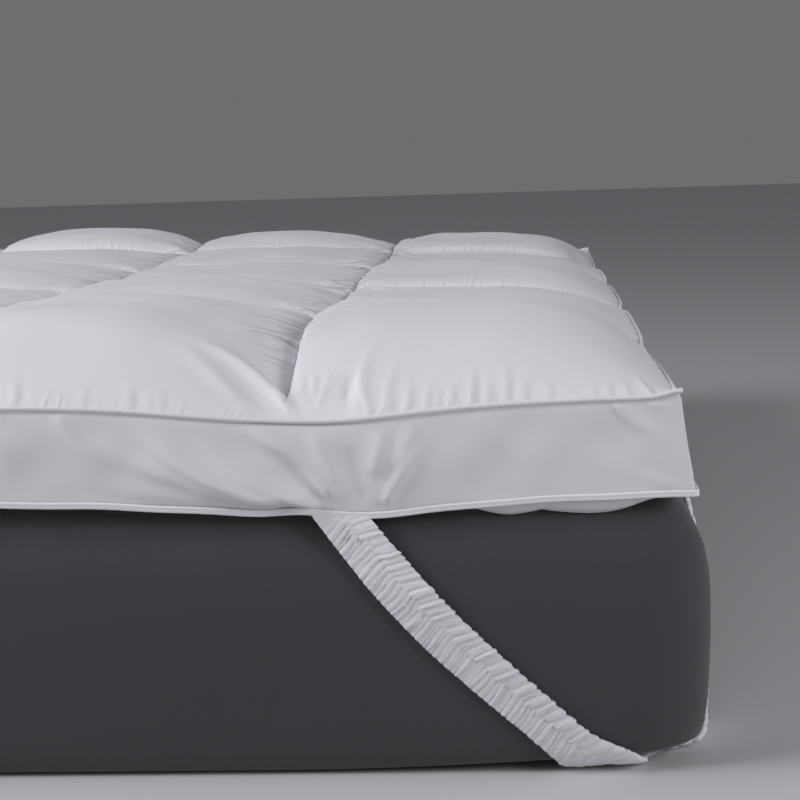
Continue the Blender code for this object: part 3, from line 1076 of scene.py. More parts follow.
@dataclass
class QuiltedPanel:
    """The quilted top panel of the topper, with the folds that its seams and straps pull in it."""

    sizes: TopperMeasures
    # mesh lines in each column and each row of cells, more of them at the foot's right corner
    column_lines: tuple[int, ...] = (30, 44, 120, 156)
    row_lines: tuple[int, ...] = (130, 56, 32, 28, 26)
    crowding: tuple[float, float] = (0.35, 0.45)
    foot_crowding: float = 0.35
    rim_drop: float = 0.004
    lumps: float = 0.0022
    lump_size: float = 0.16
    lengthwise: Gathers = Gathers(0.0290, (0.050, 0.105), (0.0040, 0.0068), 0.10)
    crosswise: Gathers = Gathers(0.0260, (0.020, 0.055), (0.0004, 0.0012), 0.25)
    # how much of the crosswise gathers shows on a cell's side towards the foot, and the head
    crosswise_shares: tuple[float, float] = (0.15, 0.8)
    side_edge: Gathers = Gathers(0.0210, (0.018, 0.050), (0.0012, 0.0026), 0.20)
    # towards the foot and the head, gathers lean over by this slope, fading along the bed
    end_lean: tuple[float, float] = (1.0, 0.35)
    # flat web of cloth where a channel meets the edge beside a strap
    web_edges: tuple[float, float] = (0.297, 0.384)
    web_reach: float = 0.050
    web_depth: float = 0.88
    web_slope: float = 0.36
    # the folds and webs of a strap on a long side: share of the others' size, and how much
    # further they lie from the corner
    side_fold_share: float = 0.8
    side_web_share: float = 0.7
    side_shift: float = 0.022
    # folds that radiate from a cell's inner corner: number, first direction and step between two
    # in degrees, bend of the far end, length and height
    knot_count: int = 3
    knot_turn: tuple[float, float] = (28, 40)
    knot_spread: tuple[float, float] = (10, 17)
    knot_bend: tuple[float, float] = (-12, 6)
    knot_length: tuple[float, float] = (0.085, 0.150)
    knot_height: tuple[float, float] = (0.0014, 0.0034)
    strap_folds: tuple[Crease, ...] = (
        Crease(
            ((0.364, 0.008), (0.377, 0.030), (0.396, 0.048), (0.421, 0.066), (0.446, 0.078), (0.482, 0.093)),
            (0.0034, 0.0070), (0.0070, 0.0145), 0.0100, 0.28, 0.72,
        ),
        Crease(
            ((0.398, 0.008), (0.424, 0.030), (0.447, 0.048), (0.470, 0.066), (0.500, 0.088)),
            (0.0060, 0.0100), (0.0070, 0.0140), 0.0030, 0.35, 0.65,
        ),
        Crease(
            ((0.287, 0.000), (0.293, 0.014), (0.297, 0.030), (0.295, 0.050), (0.284, 0.082)),
            (0.0022, 0.0050), (0.0050, 0.0110), 0.0028, 0.06, 0.65,
        ),
        Crease(
            ((0.277, 0.000), (0.273, 0.012), (0.271, 0.026), (0.257, 0.060)),
            (0.0022, 0.0045), (0.0045, 0.0080), 0.0020, 0.06, 0.70,
        ),
        Crease(
            ((0.341, 0.012), (0.335, 0.031), (0.324, 0.054)),
            (0.0026, 0.0040), (0.0030, 0.0050), 0.0016, 0.35, 0.55,
        ),
        Crease(((0.342, 0.030), (0.346, 0.056)), (0.0026, 0.0032), (0.0030, 0.0040), 0.0014, 0.40, 0.55),
        Crease(((0.355, 0.032), (0.356, 0.056)), (0.0030, 0.0034), (0.0030, 0.0040), 0.0014, 0.40, 0.55),
        Crease(((0.368, 0.036), (0.345, 0.006)), (0.0040, 0.0050), (0.0050, 0.0060), -0.0012, 0.30, 0.50),
    )
    pucker_share: float = 1.5
    # puckers of the end seams: from the corner to the middle of the bed
    end_puckers: tuple[Pucker, ...] = (
        Pucker(0.023, 0.052, 0.0020, 0.30),
        Pucker(0.044, 0.030, 0.0014, 0.20),
        Pucker(0.062, 0.024, 0.0013, 0.10),
        Pucker(0.077, 0.020, 0.0010, 0.00),
        Pucker(0.118, 0.022, 0.0012, 0.05),
        Pucker(0.141, 0.025, 0.0013, 0.05),
        Pucker(0.158, 0.042, 0.0019, 0.02),
        Pucker(0.176, 0.030, 0.0014, -0.04),
        Pucker(0.191, 0.044, 0.0021, -0.03),
        Pucker(0.211, 0.026, 0.0014, -0.06),
        Pucker(0.224, 0.024, 0.0013, -0.05),
        Pucker(0.234, 0.030, 0.0015, -0.10),
        Pucker(0.252, 0.030, 0.0019, -0.10),
        Pucker(0.269, 0.018, 0.0014, -0.15),
        Pucker(0.486, 0.026, 0.0011, 0.10),
        Pucker(0.496, 0.020, 0.0008, 0.05),
        Pucker(0.516, 0.030, 0.0013, 0.15),
        Pucker(0.561, 0.024, 0.0010, 0.10),
        Pucker(0.626, 0.034, 0.0014, 0.20),
        Pucker(0.690, 0.028, 0.0011, 0.20),
    )

    @staticmethod
    def lines(counts: Sequence[int], crowding: float, first_crowding: float = 0.0) -> Array:
        """Mesh lines across the cells, from -1 to 1.

        Args:
            counts: lines in each cell.
            crowding: how much closer they lie at the channels.
            first_crowding: how much closer they lie at the start of the first cell.

        Returns:
            The places of the lines.
        """
        shares = []
        for cell, count in enumerate(counts):
            t = np.linspace(0, 1, count + 1)[:-1]
            if cell == 0 and first_crowding:
                shares.append(t * (1 - first_crowding) + first_crowding * t ** 2)
            else:
                shares.append(cell + t - crowding * np.sin(2 * math.pi * t) / (2 * math.pi))
        return 2 * np.concatenate(shares + [[len(counts)]]) / len(counts) - 1

    def seam_gathers(self, x: Array, y: Array) -> Array:
        """Gathers beside every channel and both long edges.

        Args:
            x: places across the bed, before any draw.
            y: places along it.

        Returns:
            The relief in metres.
        """
        sizes = self.sizes
        half_x, half_y = sizes.top_width / 2, sizes.top_length / 2
        wide, long = sizes.top_width / sizes.columns, sizes.top_length / sizes.rows
        relief = np.zeros_like(x)
        for row in range(sizes.rows):
            for column in range(sizes.columns):
                x0, y0 = -half_x + column * wide, -half_y + row * long
                in_row = (y[:, 0] >= y0 - 1e-9) & (y[:, 0] <= y0 + long + 1e-9)
                in_column = (x[0] >= x0 - 1e-9) & (x[0] <= x0 + wide + 1e-9)
                cell = np.ix_(in_row, in_column)
                cx, cy = x[cell], y[cell]
                left, right, low, high = cx - x0, x0 + wide - cx, cy - y0, y0 + long - cy
                from_end = half_y - abs(cy)
                lean = np.sign(cy) * self.end_lean[0] * np.exp(-from_end / self.end_lean[1])
                ended = rise((from_end - 0.035) / 0.20)
                across_ended = rise((half_x - abs(cx)) / 0.10)
                seed = 40 * (row * sizes.columns + column)
                folds = np.zeros_like(cx)
                for side, (away, share) in enumerate(((left, 0.7), (right, 1.0))):
                    outer = column == (0, sizes.columns - 1)[side]
                    kind = self.side_edge if outer else self.lengthwise
                    run = cy if outer else cy - lean * away
                    calm = rise((np.minimum(low, high) + 0.01) / 0.05) if outer else 1.0
                    span = (y0 - 0.1, y0 + long + 0.1)
                    folds += kind.relief(run, away, span, seed + side, ended * share * calm)
                for side, away in enumerate((low, high)):
                    if row == (0, sizes.rows - 1)[side]:
                        continue
                    calm = across_ended * rise(np.minimum(left, right) / 0.05)
                    calm *= self.crosswise_shares[side]
                    folds += self.crosswise.relief(cx, away, (x0, x0 + wide), seed + 2 + side, calm)
                folds += self.knot_folds(left, right, low, high, row, column, seed)
                relief[cell] = folds
        return relief

    def knot_folds(
        self, left: Array, right: Array, low: Array, high: Array, row: int, column: int, seed: int
    ) -> Array:
        """Longer folds that radiate from the inner corners of one cell.

        Args:
            left: distance from the cell's left border.
            right: distance from its right border.
            low: distance from its border towards the foot.
            high: distance from its border towards the head.
            row: row of the cell.
            column: column of the cell.
            seed: seed of the folds.

        Returns:
            Metres out of the surface.
        """
        rng = np.random.default_rng(seed + 9)
        total = np.zeros_like(left)
        for side, across in enumerate((left, right)):
            for end, along in enumerate((low, high)):
                if column == (0, self.sizes.columns - 1)[side] or row == (0, self.sizes.rows - 1)[end]:
                    continue
                turn = math.radians(rng.uniform(*self.knot_turn))
                for _ in range(self.knot_count):
                    length = rng.uniform(*self.knot_length)
                    bend = turn + math.radians(rng.uniform(*self.knot_bend))
                    line = tuple(
                        (way * math.cos(angle) + 0.004, way * math.sin(angle) + 0.004)
                        for way, angle in ((0.014, turn), (0.5 * length, turn), (length, bend))
                    )
                    wide = rng.uniform(0.8, 1.3)
                    fold = Crease(
                        line, (0.0038 * wide, 0.0090 * wide), (0.0045 * wide, 0.0130 * wide),
                        rng.uniform(*self.knot_height), 0.20, 0.75,
                    )
                    total += fold.relief(across, along)
                    turn += math.radians(rng.uniform(*self.knot_spread))
        return total

    def edge_folds(self, x: Array, y: Array) -> Array:
        """The folds beside each corner from the pull of its strap, and the end seams' puckers.

        Args:
            x: places across the bed, before any draw.
            y: places along it.

        Returns:
            The relief in metres.
        """
        half_x, half_y = self.sizes.top_width / 2, self.sizes.top_length / 2
        rng = np.random.default_rng(5)
        total = np.zeros_like(x)
        for corner in Corner:
            sx, sy = corner.value
            seen = corner is Corner.FRONT_RIGHT
            here = ((x * sx >= 0) if seen or corner is Corner.BACK_RIGHT else (x < 0)) & (y * sy >= 0)
            along, away = half_x - x * sx, half_y - y * sy
            for fold in self.strap_folds:
                total += here * fold.relief(along, away) * (1.0 if seen else rng.uniform(0.7, 1.1))
                beside = self.side_fold_share * fold.relief(away - self.side_shift, along)
                total += here * beside * rng.uniform(0.7, 1.1)
            for pucker in self.end_puckers:
                strength, shift = (1.0, 0.0) if seen else (rng.uniform(0.6, 1.3), rng.uniform(-0.008, 0.008))
                total += here * self.pucker_share * strength * pucker.relief(along + shift, away)
        return total

    def web_share(self, along: Array, away: Array) -> Array:
        """1 in the flat web of cloth where a channel meets the edge beside a strap.

        Args:
            along: distance along the edge from the nearest corner.
            away: distance in from the edge.

        Returns:
            The share, fading at the borders of the web.
        """
        far = self.web_edges[1] + 1.45 * np.maximum(0, away - 0.010)
        share = rise((along - self.web_edges[0]) / 0.015) * rise((far - along) / 0.013)
        return share * rise((self.web_reach - away) / 0.024)

    def flatten_webs(self, points: Array, x: Array, y: Array) -> None:
        """Brings cells and channel ends to the flat webs beside the straps.

        Args:
            points: points of the panel, which are changed.
            x: places across the bed, before any draw.
            y: places along it.
        """
        half_x, half_y = self.sizes.top_width / 2, self.sizes.top_length / 2
        along, away = half_x - abs(x), half_y - abs(y)
        share = self.web_share(along, away)
        share += self.side_web_share * self.web_share(away - self.side_shift, along)
        edge = self.sizes.edge_height(x / half_x, y / half_y)
        plane = edge + self.web_slope * np.minimum(along, away)
        points[..., 2] += self.web_depth * np.minimum(1, share) * (plane - points[..., 2])

    def strengths(self, x: Array, y: Array) -> tuple[Array, Array]:
        """How strongly the finest gathers show beside lengthwise and crosswise seams, from 0 to 1.

        Args:
            x: places across the bed, before any draw.
            y: places along it.

        Returns:
            The strength beside lengthwise seams, and beside crosswise ones.
        """
        sizes = self.sizes
        half_x, half_y = sizes.top_width / 2, sizes.top_length / 2
        wide, long = sizes.top_width / sizes.columns, sizes.top_length / sizes.rows
        left, low = (x + half_x) % wide, (y + half_y) % long
        from_side, from_end = half_x - abs(x), half_y - abs(y)
        right_slope = fading(wide - left, 0.080)
        left_slope = 0.55 * fading(left, 0.050)
        lengthwise = np.maximum(right_slope, left_slope) * rise((from_end - 0.03) / 0.15)
        at_side = 0.5 * fading(from_side, 0.035) * rise((from_end - 0.06) / 0.10)
        outer = np.maximum(at_side, lengthwise * (from_side > 0.1))
        lengthwise = np.where(from_side < wide / 2, outer, lengthwise)
        crosswise = 0.45 * fading(np.minimum(low, long - low), 0.045)
        crosswise *= rise(from_side / 0.10) * (from_end > 0.2)
        at_end = 0.42 * fading(from_end, 0.016)
        return lengthwise, np.maximum(crosswise, at_end)

    def build(self, material: bpy.types.Material) -> bpy.types.Object:
        """The panel, closed underneath at the height of its seam.

        Args:
            material: its finish.

        Returns:
            The panel.
        """
        sizes = self.sizes
        us = self.lines(self.column_lines, self.crowding[0])
        vs = self.lines(self.row_lines, self.crowding[1], self.foot_crowding)
        u, v = np.meshgrid(us, vs)
        points = sizes.panel(u, v)
        x, y = sizes.top_width / 2 * u, sizes.top_length / 2 * v
        self.flatten_webs(points, x, y)
        off_middle = np.maximum(
            abs((u + 1) * sizes.columns / 2 % 1 - 0.5), abs((v + 1) * sizes.rows / 2 % 1 - 0.5)
        )
        loft = rise((0.5 - off_middle) * 4)
        relief = self.seam_gathers(x, y) + self.edge_folds(x, y)
        relief += self.lumps * loft * value_waves(x, y, 11, self.lump_size)
        rim = np.minimum(1, np.minimum(1 - abs(u), 1 - abs(v)) * 260)
        points += surface_normals(points) * (relief * rim)[..., None]

        rows, columns = u.shape
        faces = grid_faces(rows, columns).tolist()
        edge = [*range(columns)]
        edge += [j * columns + columns - 1 for j in range(1, rows)]
        edge += [(rows - 1) * columns + i for i in range(columns - 2, -1, -1)]
        edge += [j * columns for j in range(rows - 2, 0, -1)]
        flat = points.reshape(-1, 3)
        hem = flat[edge] * (0.997, 0.998, 1.0)
        hem[:, 2] = hem[:, 2].min() - self.rim_drop
        start, count = len(flat), len(edge)
        for k in range(count):
            after = (k + 1) % count
            faces.append((edge[k], start + k, start + after, edge[after]))
        faces.append(tuple(range(start + count - 1, start - 1, -1)))
        piece = mesh_piece("topper_top_panel", np.concatenate((flat, hem)), faces, material)
        for seams, values in zip((LENGTHWISE_FINE, CROSSWISE_FINE), self.strengths(x, y)):
            point_values(piece, seams.strengths, np.concatenate((values.ravel(), np.zeros(count))))
        return piece


@dataclass
class BoxedSide:
    """The boxed side of the topper with its underside, one closed ring of cloth."""

    sizes: TopperMeasures
    run: EdgeRun
    heights: int = 20
    under_sag: float = 0.0205
    sag_reach: float = 0.07
    sag_end: float = 0.20
    tuck_drop: float = 0.010
    # share of height and depth of the recess right under the top piping
    recess: tuple[tuple[float, float], ...] = (
        (1.0, 0.0006), (0.982, 0.0030), (0.962, 0.0026), (0.938, 0.0006),
    )
    fold_share: float = 1.75
    # folds that the strap pulls in the side, as (distance from the corner, share of height)
    folds: tuple[Crease, ...] = (
        Crease(
            ((0.356, 0.04), (0.383, 0.11), (0.421, 0.22), (0.4715, 0.44), (0.514, 0.74), (0.540, 0.92)),
            (0.0036, 0.0085), (0.0090, 0.0220), 0.0066, 0.08, 0.50,
        ),
        Crease(
            ((0.382, 0.03), (0.420, 0.12), (0.459, 0.24), (0.506, 0.40), (0.560, 0.56)),
            (0.0038, 0.0095), (0.0080, 0.0190), 0.0054, 0.10, 0.65,
        ),
        Crease(
            ((0.352, 0.05), (0.381, 0.19), (0.416, 0.37), (0.452, 0.60), (0.482, 0.82)),
            (0.0036, 0.0090), (0.0075, 0.0170), 0.0056, 0.08, 0.60,
        ),
        Crease(
            ((0.334, 0.16), (0.358, 0.50), (0.396, 0.80), (0.433, 0.95)),
            (0.0042, 0.0085), (0.0070, 0.0150), 0.0044, 0.12, 0.45,
        ),
        Crease(((0.400, 0.02), (0.500, 0.13), (0.600, 0.32)), (0.0050, 0.0120), (0.0080, 0.0180), 0.0026),
        Crease(
            ((0.328, 0.30), (0.340, 0.55), (0.352, 0.94)),
            (0.0050, 0.0080), (0.0060, 0.0100), 0.0020, 0.20, 0.30,
        ),
        Crease(
            ((0.290, 0.09), (0.277, 0.30), (0.255, 0.58), (0.236, 0.84)),
            (0.0034, 0.0080), (0.0042, 0.0100), 0.0036,
        ),
        Crease(
            ((0.296, 0.40), (0.290, 0.62), (0.281, 0.90)),
            (0.0040, 0.0070), (0.0050, 0.0080), 0.0024, 0.20, 0.35,
        ),
        Crease(
            ((0.276, 0.48), (0.262, 0.70), (0.250, 0.92)),
            (0.0040, 0.0070), (0.0050, 0.0080), 0.0022, 0.20, 0.35,
        ),
        Crease(
            ((0.312, 0.08), (0.314, 0.40), (0.318, 0.80)),
            (0.0080, 0.0120), (0.0080, 0.0120), -0.0026, 0.20, 0.40,
        ),
        Crease(
            ((0.062, 0.99), (0.048, 0.80), (0.030, 0.62), (0.022, 0.45)),
            (0.0030, 0.0060), (0.0034, 0.0080), 0.0026,
        ),
        Crease(
            ((0.032, 0.97), (0.020, 0.91), (0.009, 0.86)),
            (0.0024, 0.0040), (0.0026, 0.0050), 0.0014, 0.10, 0.60,
        ),
        Crease(
            ((0.012, 0.03), (0.030, 0.12), (0.054, 0.22)),
            (0.0030, 0.0060), (0.0030, 0.0080), 0.0016, 0.10, 0.60,
        ),
        Crease(
            ((0.600, 0.99), (0.580, 0.70), (0.530, 0.36)),
            (0.0060, 0.0140), (0.0060, 0.0160), 0.0020, 0.15, 0.55,
        ),
        Crease(
            ((0.680, 0.97), (0.655, 0.66), (0.620, 0.42)),
            (0.0060, 0.0140), (0.0060, 0.0160), 0.0018, 0.15, 0.55,
        ),
    )
    # broad shallow hollows: distance from the corner, share of height, size, depth
    hollows: tuple[tuple[float, float, float, float], ...] = (
        (0.181, 0.30, 0.040, 0.0030),
        (0.083, 0.52, 0.034, 0.0020),
        (0.128, 0.64, 0.032, 0.0014),
        (0.560, 0.30, 0.060, 0.0022),
        (0.655, 0.34, 0.050, 0.0018),
    )
    gathers: Gathers = Gathers(0.0300, (0.014, 0.034), (0.0002, 0.0008), 0.30)
    # soft unevenness of the side: height and size
    unevenness: tuple[float, float] = (0.0012, 0.12)
    # the underside's rings: inset, share of the sag, share of the way up to the mattress
    under_levels: tuple[tuple[float, float, float], ...] = (
        (0.0015, 0.30, 0.0), (0.0045, 0.72, 0.0), (0.009, 0.97, 0.0), (0.014, 1.0, 0.0),
        (0.020, 0.90, 0.15), (0.027, 0.62, 0.5), (0.037, 0.30, 0.85), (0.050, 0.0, 1.0),
    )
    mattress_gap: float = 0.0008
    # scallops of the sagging rim: place of the first, length of one, least share of the sag
    scallop_start: float = 0.037
    scallop_length: float = 0.098
    scallop_low: float = 0.72

    def relief(self, u: Array, v: Array, share: Array) -> Array:
        """Folds and hollows of the side at edge places and shares of its height.

        Args:
            u: from -1 to 1 across the bed.
            v: from -1 to 1 along it.
            share: share of the height, from the bottom seam.

        Returns:
            Metres out of the side.
        """
        sizes = self.sizes
        way = sizes.corner_way(u, v)
        height = sizes.box_height
        total = sizes.side_bulge * np.sin(math.pi * share) * (
            1 - np.exp(-3 * (way / sizes.bulge_reach) ** 2)
        )
        for fold in self.folds:
            total += self.fold_share * fold.relief(way, share, height)
        for place, at, size, depth in self.hollows:
            total -= depth * bell((way - place) / size) * bell((share - at) * height / (0.5 * size))
        place = sizes.bottom_width * u + sizes.bottom_length * 1.7 * v
        amount, size = self.unevenness
        total += amount * np.sin(math.pi * share) * value_waves(place, share * height * 2, 23, size)
        full = np.ones_like(u)
        for seed, along, fixed, half in (
            (700, u, v, sizes.bottom_width / 2), (702, v, u, sizes.bottom_length / 2)
        ):
            for side in (-1, 1):
                folds = self.gathers.relief(
                    along * half, (1 - share) * height, (-half, half), seed + side, full
                )
                total += (fixed == side) * folds
        return total * rise(share / 0.12) * rise((1 - share) / 0.08)

    def build(self, material: bpy.types.Material) -> bpy.types.Object:
        """The side from the top seam down, the puffs of the underside, and a hidden inner wall.

        Args:
            material: its finish.

        Returns:
            The side.
        """
        sizes = self.sizes
        u, v = self.run.places(sizes)
        out = self.run.outward(u, v)
        top, low = sizes.panel(u, v), sizes.bottom(u, v)
        rings = [top * (0.990, 0.9925, 1.0) - (0, 0, self.tuck_drop)]
        levels = [*self.recess, *((share, 0.0) for share in np.linspace(0.91, 0, self.heights))]
        for share, depth in levels:
            shares = np.full_like(u, share)
            rings.append(low + (top - low) * share + out * (self.relief(u, v, shares) - depth)[:, None])
        rings += self.under_rings(u, v, low)
        points = np.concatenate(rings)
        count = len(u)
        faces = grid_faces(len(rings), count, closed=True).tolist()
        last = len(points) - count
        for k in range(count):
            after = (k + 1) % count
            faces.append((last + k, last + after, after, k))
        return mesh_piece("topper_boxed_side", points, faces, material)

    def under_rings(self, u: Array, v: Array, low: Array) -> list[Array]:
        """Rings of the underside, from the bottom seam in to where it lies on the mattress.

        Args:
            u: from -1 to 1 across the bed.
            v: from -1 to 1 along it.
            low: points of the bottom seam.

        Returns:
            The points of each ring.
        """
        sizes = self.sizes
        rest_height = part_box("mattress")[1].z + self.mattress_gap
        way = sizes.corner_way(u, v)
        sag = self.under_sag * (1 - np.exp(-3 * (way / self.sag_reach) ** 2))
        sag *= 1 - rise((way - 0.8 * self.sag_end) / (0.35 * self.sag_end))
        sag *= 1 - 0.6 * sizes.strap_share(u, v)
        wave = abs(np.sin(math.pi * (way - self.scallop_start) / self.scallop_length)) ** 0.7
        scallop = self.scallop_low + (1 - self.scallop_low) * wave
        rings = []
        for inset, share, rest in self.under_levels:
            half_x = sizes.bottom_width / 2 - inset
            half_y = sizes.bottom_length / 2 - inset
            hung = low[:, 2] - sag * scallop * share
            z = hung * (1 - rest) + rest_height * rest
            rings.append(np.stack((half_x * u, half_y * v, z), axis=-1))
        return rings


@dataclass
class Piping:
    """A cord in cloth along a seam, swept by a Geometry Nodes tree.

    Attributes:
        name: name of the piece.
        node: the frame's node that it replaces.
        radius: its upright radius.
        flatness: its radius outwards, as a share of that.
        gap: distance from the seam to its near side.
        lift: how far above the seam its middle lies.
        ripple: unevenness of its cloth.
        groove: depth of the sewn groove, as a share of its radius outwards.
        seed: seed of the unevenness.
    """

    name: str
    node: str
    radius: float
    flatness: float
    gap: float
    lift: float
    ripple: float
    groove: float
    seed: float

    def build(
        self, tree: GeometryTree, seam: Array, out: Array, material: bpy.types.Material
    ) -> bpy.types.Object:
        """Sweeps the cord on the outer side of its seam.

        Args:
            tree: the cord tree.
            seam: points of the seam, once round.
            out: outward directions there.
            material: its finish.

        Returns:
            The piping.
        """
        middle = seam + out * (self.gap + self.radius * self.flatness) + (0, 0, self.lift)
        values = {
            "Radius": self.radius,
            "Flatness": self.flatness,
            "Groove": self.groove,
            "Groove Width": self.radius * 0.26,
            "Ripple": self.ripple,
            "Ripple Size": 130.0,
            "Seed": self.seed,
            "Material": material,
        }
        piece = tree.run(guide_line(middle, True), self.name, values)
        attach(piece, "root")
        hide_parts(self.node)
        return piece


# ---------------------------------------------------------------- straps


@dataclass(frozen=True)
class CornerLift:
    """How far the strap under a corner raises the mattress and itself.

    Attributes:
        amount: height at the corner itself.
        reach: distance from the corner where it ends.
        power: how fast it fades on the way.
        fade: height above the floor where it ends.
    """

    amount: float = 0.0195
    reach: float = 0.40
    power: float = 1.7
    fade: float = 0.13

    def at(self, way: Array, height: Array) -> Array:
        """Metres up at distances from the corner and heights above the floor."""
        low = np.clip(1 - height / self.fade, 0, 1)
        return self.amount * low * fading(way, self.reach) ** self.power


@dataclass(frozen=True)
class StrapCut:
    """A cut across a strap: its two edges as distance from the corner, and way round the fold."""

    inner_along: float
    inner_way: float
    outer_along: float
    outer_way: float


@dataclass(frozen=True)
class Ruching:
    """The gathers of a strap on one side of its stitches.

    Attributes:
        pitch: usual distance between two ridges along the strap.
        height: usual height of a ridge.
        lean: how far the ridges run along the strap for each metre from the stitches.
        edge_shift: how far a ridge moves the strap's edge, as a share of its height.
        fullness: how flat the ridges are, and so how narrow the troughs between them.
        body: height of the soft roll that carries the ridges.
    """

    pitch: float
    height: float
    lean: float
    edge_shift: float
    fullness: float
    body: float


@dataclass(frozen=True)
class Tuck:
    """A small tuck at a strap's end.

    Attributes:
        place: distance from the end.
        aside: distance from the stitches, to the upper edge.
        slope: slope of its line.
        length: reach of the tuck along the strap.
        height: height where it is fullest.
    """

    place: float
    aside: float
    slope: float
    length: float
    height: float


@dataclass
class CornerStrap:
    """One elastic strap in gathered cloth, from the foot or head round to the long side."""

    corner: Corner
    cuts: tuple[StrapCut, ...] = (
        StrapCut(0.3805, 0.2565, 0.3250, 0.2540),
        StrapCut(0.3630, 0.2340, 0.3115, 0.2370),
        StrapCut(0.3450, 0.2110, 0.2965, 0.2200),
        StrapCut(0.3235, 0.1840, 0.2755, 0.1960),
        StrapCut(0.2975, 0.1540, 0.2520, 0.1690),
        StrapCut(0.2710, 0.1250, 0.2280, 0.1440),
        StrapCut(0.2430, 0.0970, 0.2040, 0.1200),
        StrapCut(0.2125, 0.0670, 0.1785, 0.0930),
        StrapCut(0.1865, 0.0420, 0.1520, 0.0655),
        StrapCut(0.1710, 0.0260, 0.1355, 0.0480),
        StrapCut(0.1600, 0.0150, 0.1215, 0.0345),
        StrapCut(0.1505, 0.0050, 0.1055, 0.0240),
        StrapCut(0.1430, -0.0050, 0.0890, 0.0150),
        StrapCut(0.1345, -0.0180, 0.0755, 0.0060),
        StrapCut(0.1260, -0.0360, 0.0680, -0.0080),
        StrapCut(0.1120, -0.0600, 0.0660, -0.0300),
    )
    # middle of the cloth as it folds under: way travelled, inset from the fullest line, height
    fold: tuple[tuple[float, float, float], ...] = (
        (-0.110, 0.1230, -0.0044),
        (-0.009, 0.0220, -0.0044),
        (0.002, 0.0118, -0.0006),
        (0.012, 0.0055, 0.0105),
        (0.030, 0.0023, 0.0298),
        (0.070, 0.0000, 0.0700),
        (0.130, -0.0024, 0.1300),
        (0.190, -0.0013, 0.1900),
        (0.235, 0.0085, 0.2350),
        (0.270, 0.0180, 0.2700),
    )
    lift: CornerLift = CornerLift()
    thickness: float = 0.0024
    step: float = 0.0010
    across: int = 32
    stitch_share: float = 0.56
    # the gathers below the stitches, and those above
    ruchings: tuple[Ruching, Ruching] = (
        Ruching(0.0053, 0.0024, 0.10, 0.20, 3.2, 0.0004),
        Ruching(0.0094, 0.0032, 0.38, 0.75, 4.0, 0.0009),
    )
    # how the ridges vary: shares of the pitch and of the height, and slope more or less
    pitch_range: tuple[float, float] = (0.55, 1.5)
    height_range: tuple[float, float] = (0.45, 1.15)
    lean_range: tuple[float, float] = (-0.06, 0.06)
    # how far a ridge's crest wanders, how uneven its surface is, and how far it falls over
    wander: float = 0.0008
    roughness: float = 0.00022
    overhang: float = 0.35
    # shares of the width over which the stitches wander, and the two sets of gathers meet
    seam_wander: float = 0.05
    seam_blend: float = 0.10
    calm_ends: float = 0.012
    tuck_width: float = 0.0022
    tucks: tuple[Tuck, ...] = (
        Tuck(0.026, -0.006, 0.30, 0.013, 0.0016),
        Tuck(0.033, 0.001, 0.22, 0.016, 0.0018),
        Tuck(0.043, 0.007, 0.12, 0.013, 0.0012),
    )

    def fold_point(self, along: Array, way: Array, out: Array) -> Array:
        """Points of the strap in its corner: along the side, in from it, and height.

        Args:
            along: distance from the corner along the side.
            way: way travelled up from the fold at the floor.
            out: metres out of the strap's middle.

        Returns:
            The points, as (..., 3).
        """
        ways, *columns = zip(*self.fold)
        inset, height = (hermite(way, ways, column) for column in columns)
        run = np.stack([
            hermite(way - 0.002, ways, column) - hermite(way + 0.002, ways, column) for column in columns
        ])
        run /= np.linalg.norm(run, axis=0)
        raised = self.lift.at(np.hypot(along, inset), height)
        return np.stack((along, inset + run[1] * out, height - run[0] * out + raised), axis=-1)

    def edges(self, share: Array) -> tuple[Array, Array, Array, Array]:
        """Both edges at shares of the half strap: along and way, inner then outer.

        Args:
            share: places from the seam, at 0, to the middle under the corner, at 1.

        Returns:
            The inner edge's along and way, and the outer edge's.
        """
        knots = np.arange(len(self.cuts), dtype=float)
        place = share * (len(self.cuts) - 1)
        columns = zip(*(astuple(cut) for cut in self.cuts))
        return tuple(hermite(place, knots, column) for column in columns)

    def half(self, share: Array, across: Array, out: Array) -> Array:
        """Points of the half strap at shares of its length and width.

        Args:
            share: places along the half strap.
            across: share of its width, from the inner edge.
            out: metres out of the strap's middle.

        Returns:
            The points, as (..., 3).
        """
        inner_along, inner_way, outer_along, outer_way = self.edges(share)
        along = inner_along + (outer_along - inner_along) * across
        way = inner_way + (outer_way - inner_way) * across
        return self.fold_point(along, way, out)

    def whole(self, place: Array, across: Array, out: Array) -> Array:
        """Points of the strap at places from 0 to 2, its second half mirrored in the corner.

        Args:
            place: places along the strap.
            across: share of its width, from the inner edge.
            out: metres out of the strap's middle.

        Returns:
            The points, as (..., 3).
        """
        first = self.half(np.clip(place, 0, 1), across, out)
        second = self.half(np.clip(2 - place, 0, 1), across, out)[..., [1, 0, 2]]
        mattress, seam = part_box("mattress")[1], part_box("bottom_piping")[1]
        step = (mattress.x - seam.x) - (mattress.y - seam.y)
        second[..., 0] += step * np.clip(second[..., 2] / TopperMeasures.bottom_seam, 0, 1) ** 4
        return np.where((place <= 1)[..., None], first, second)

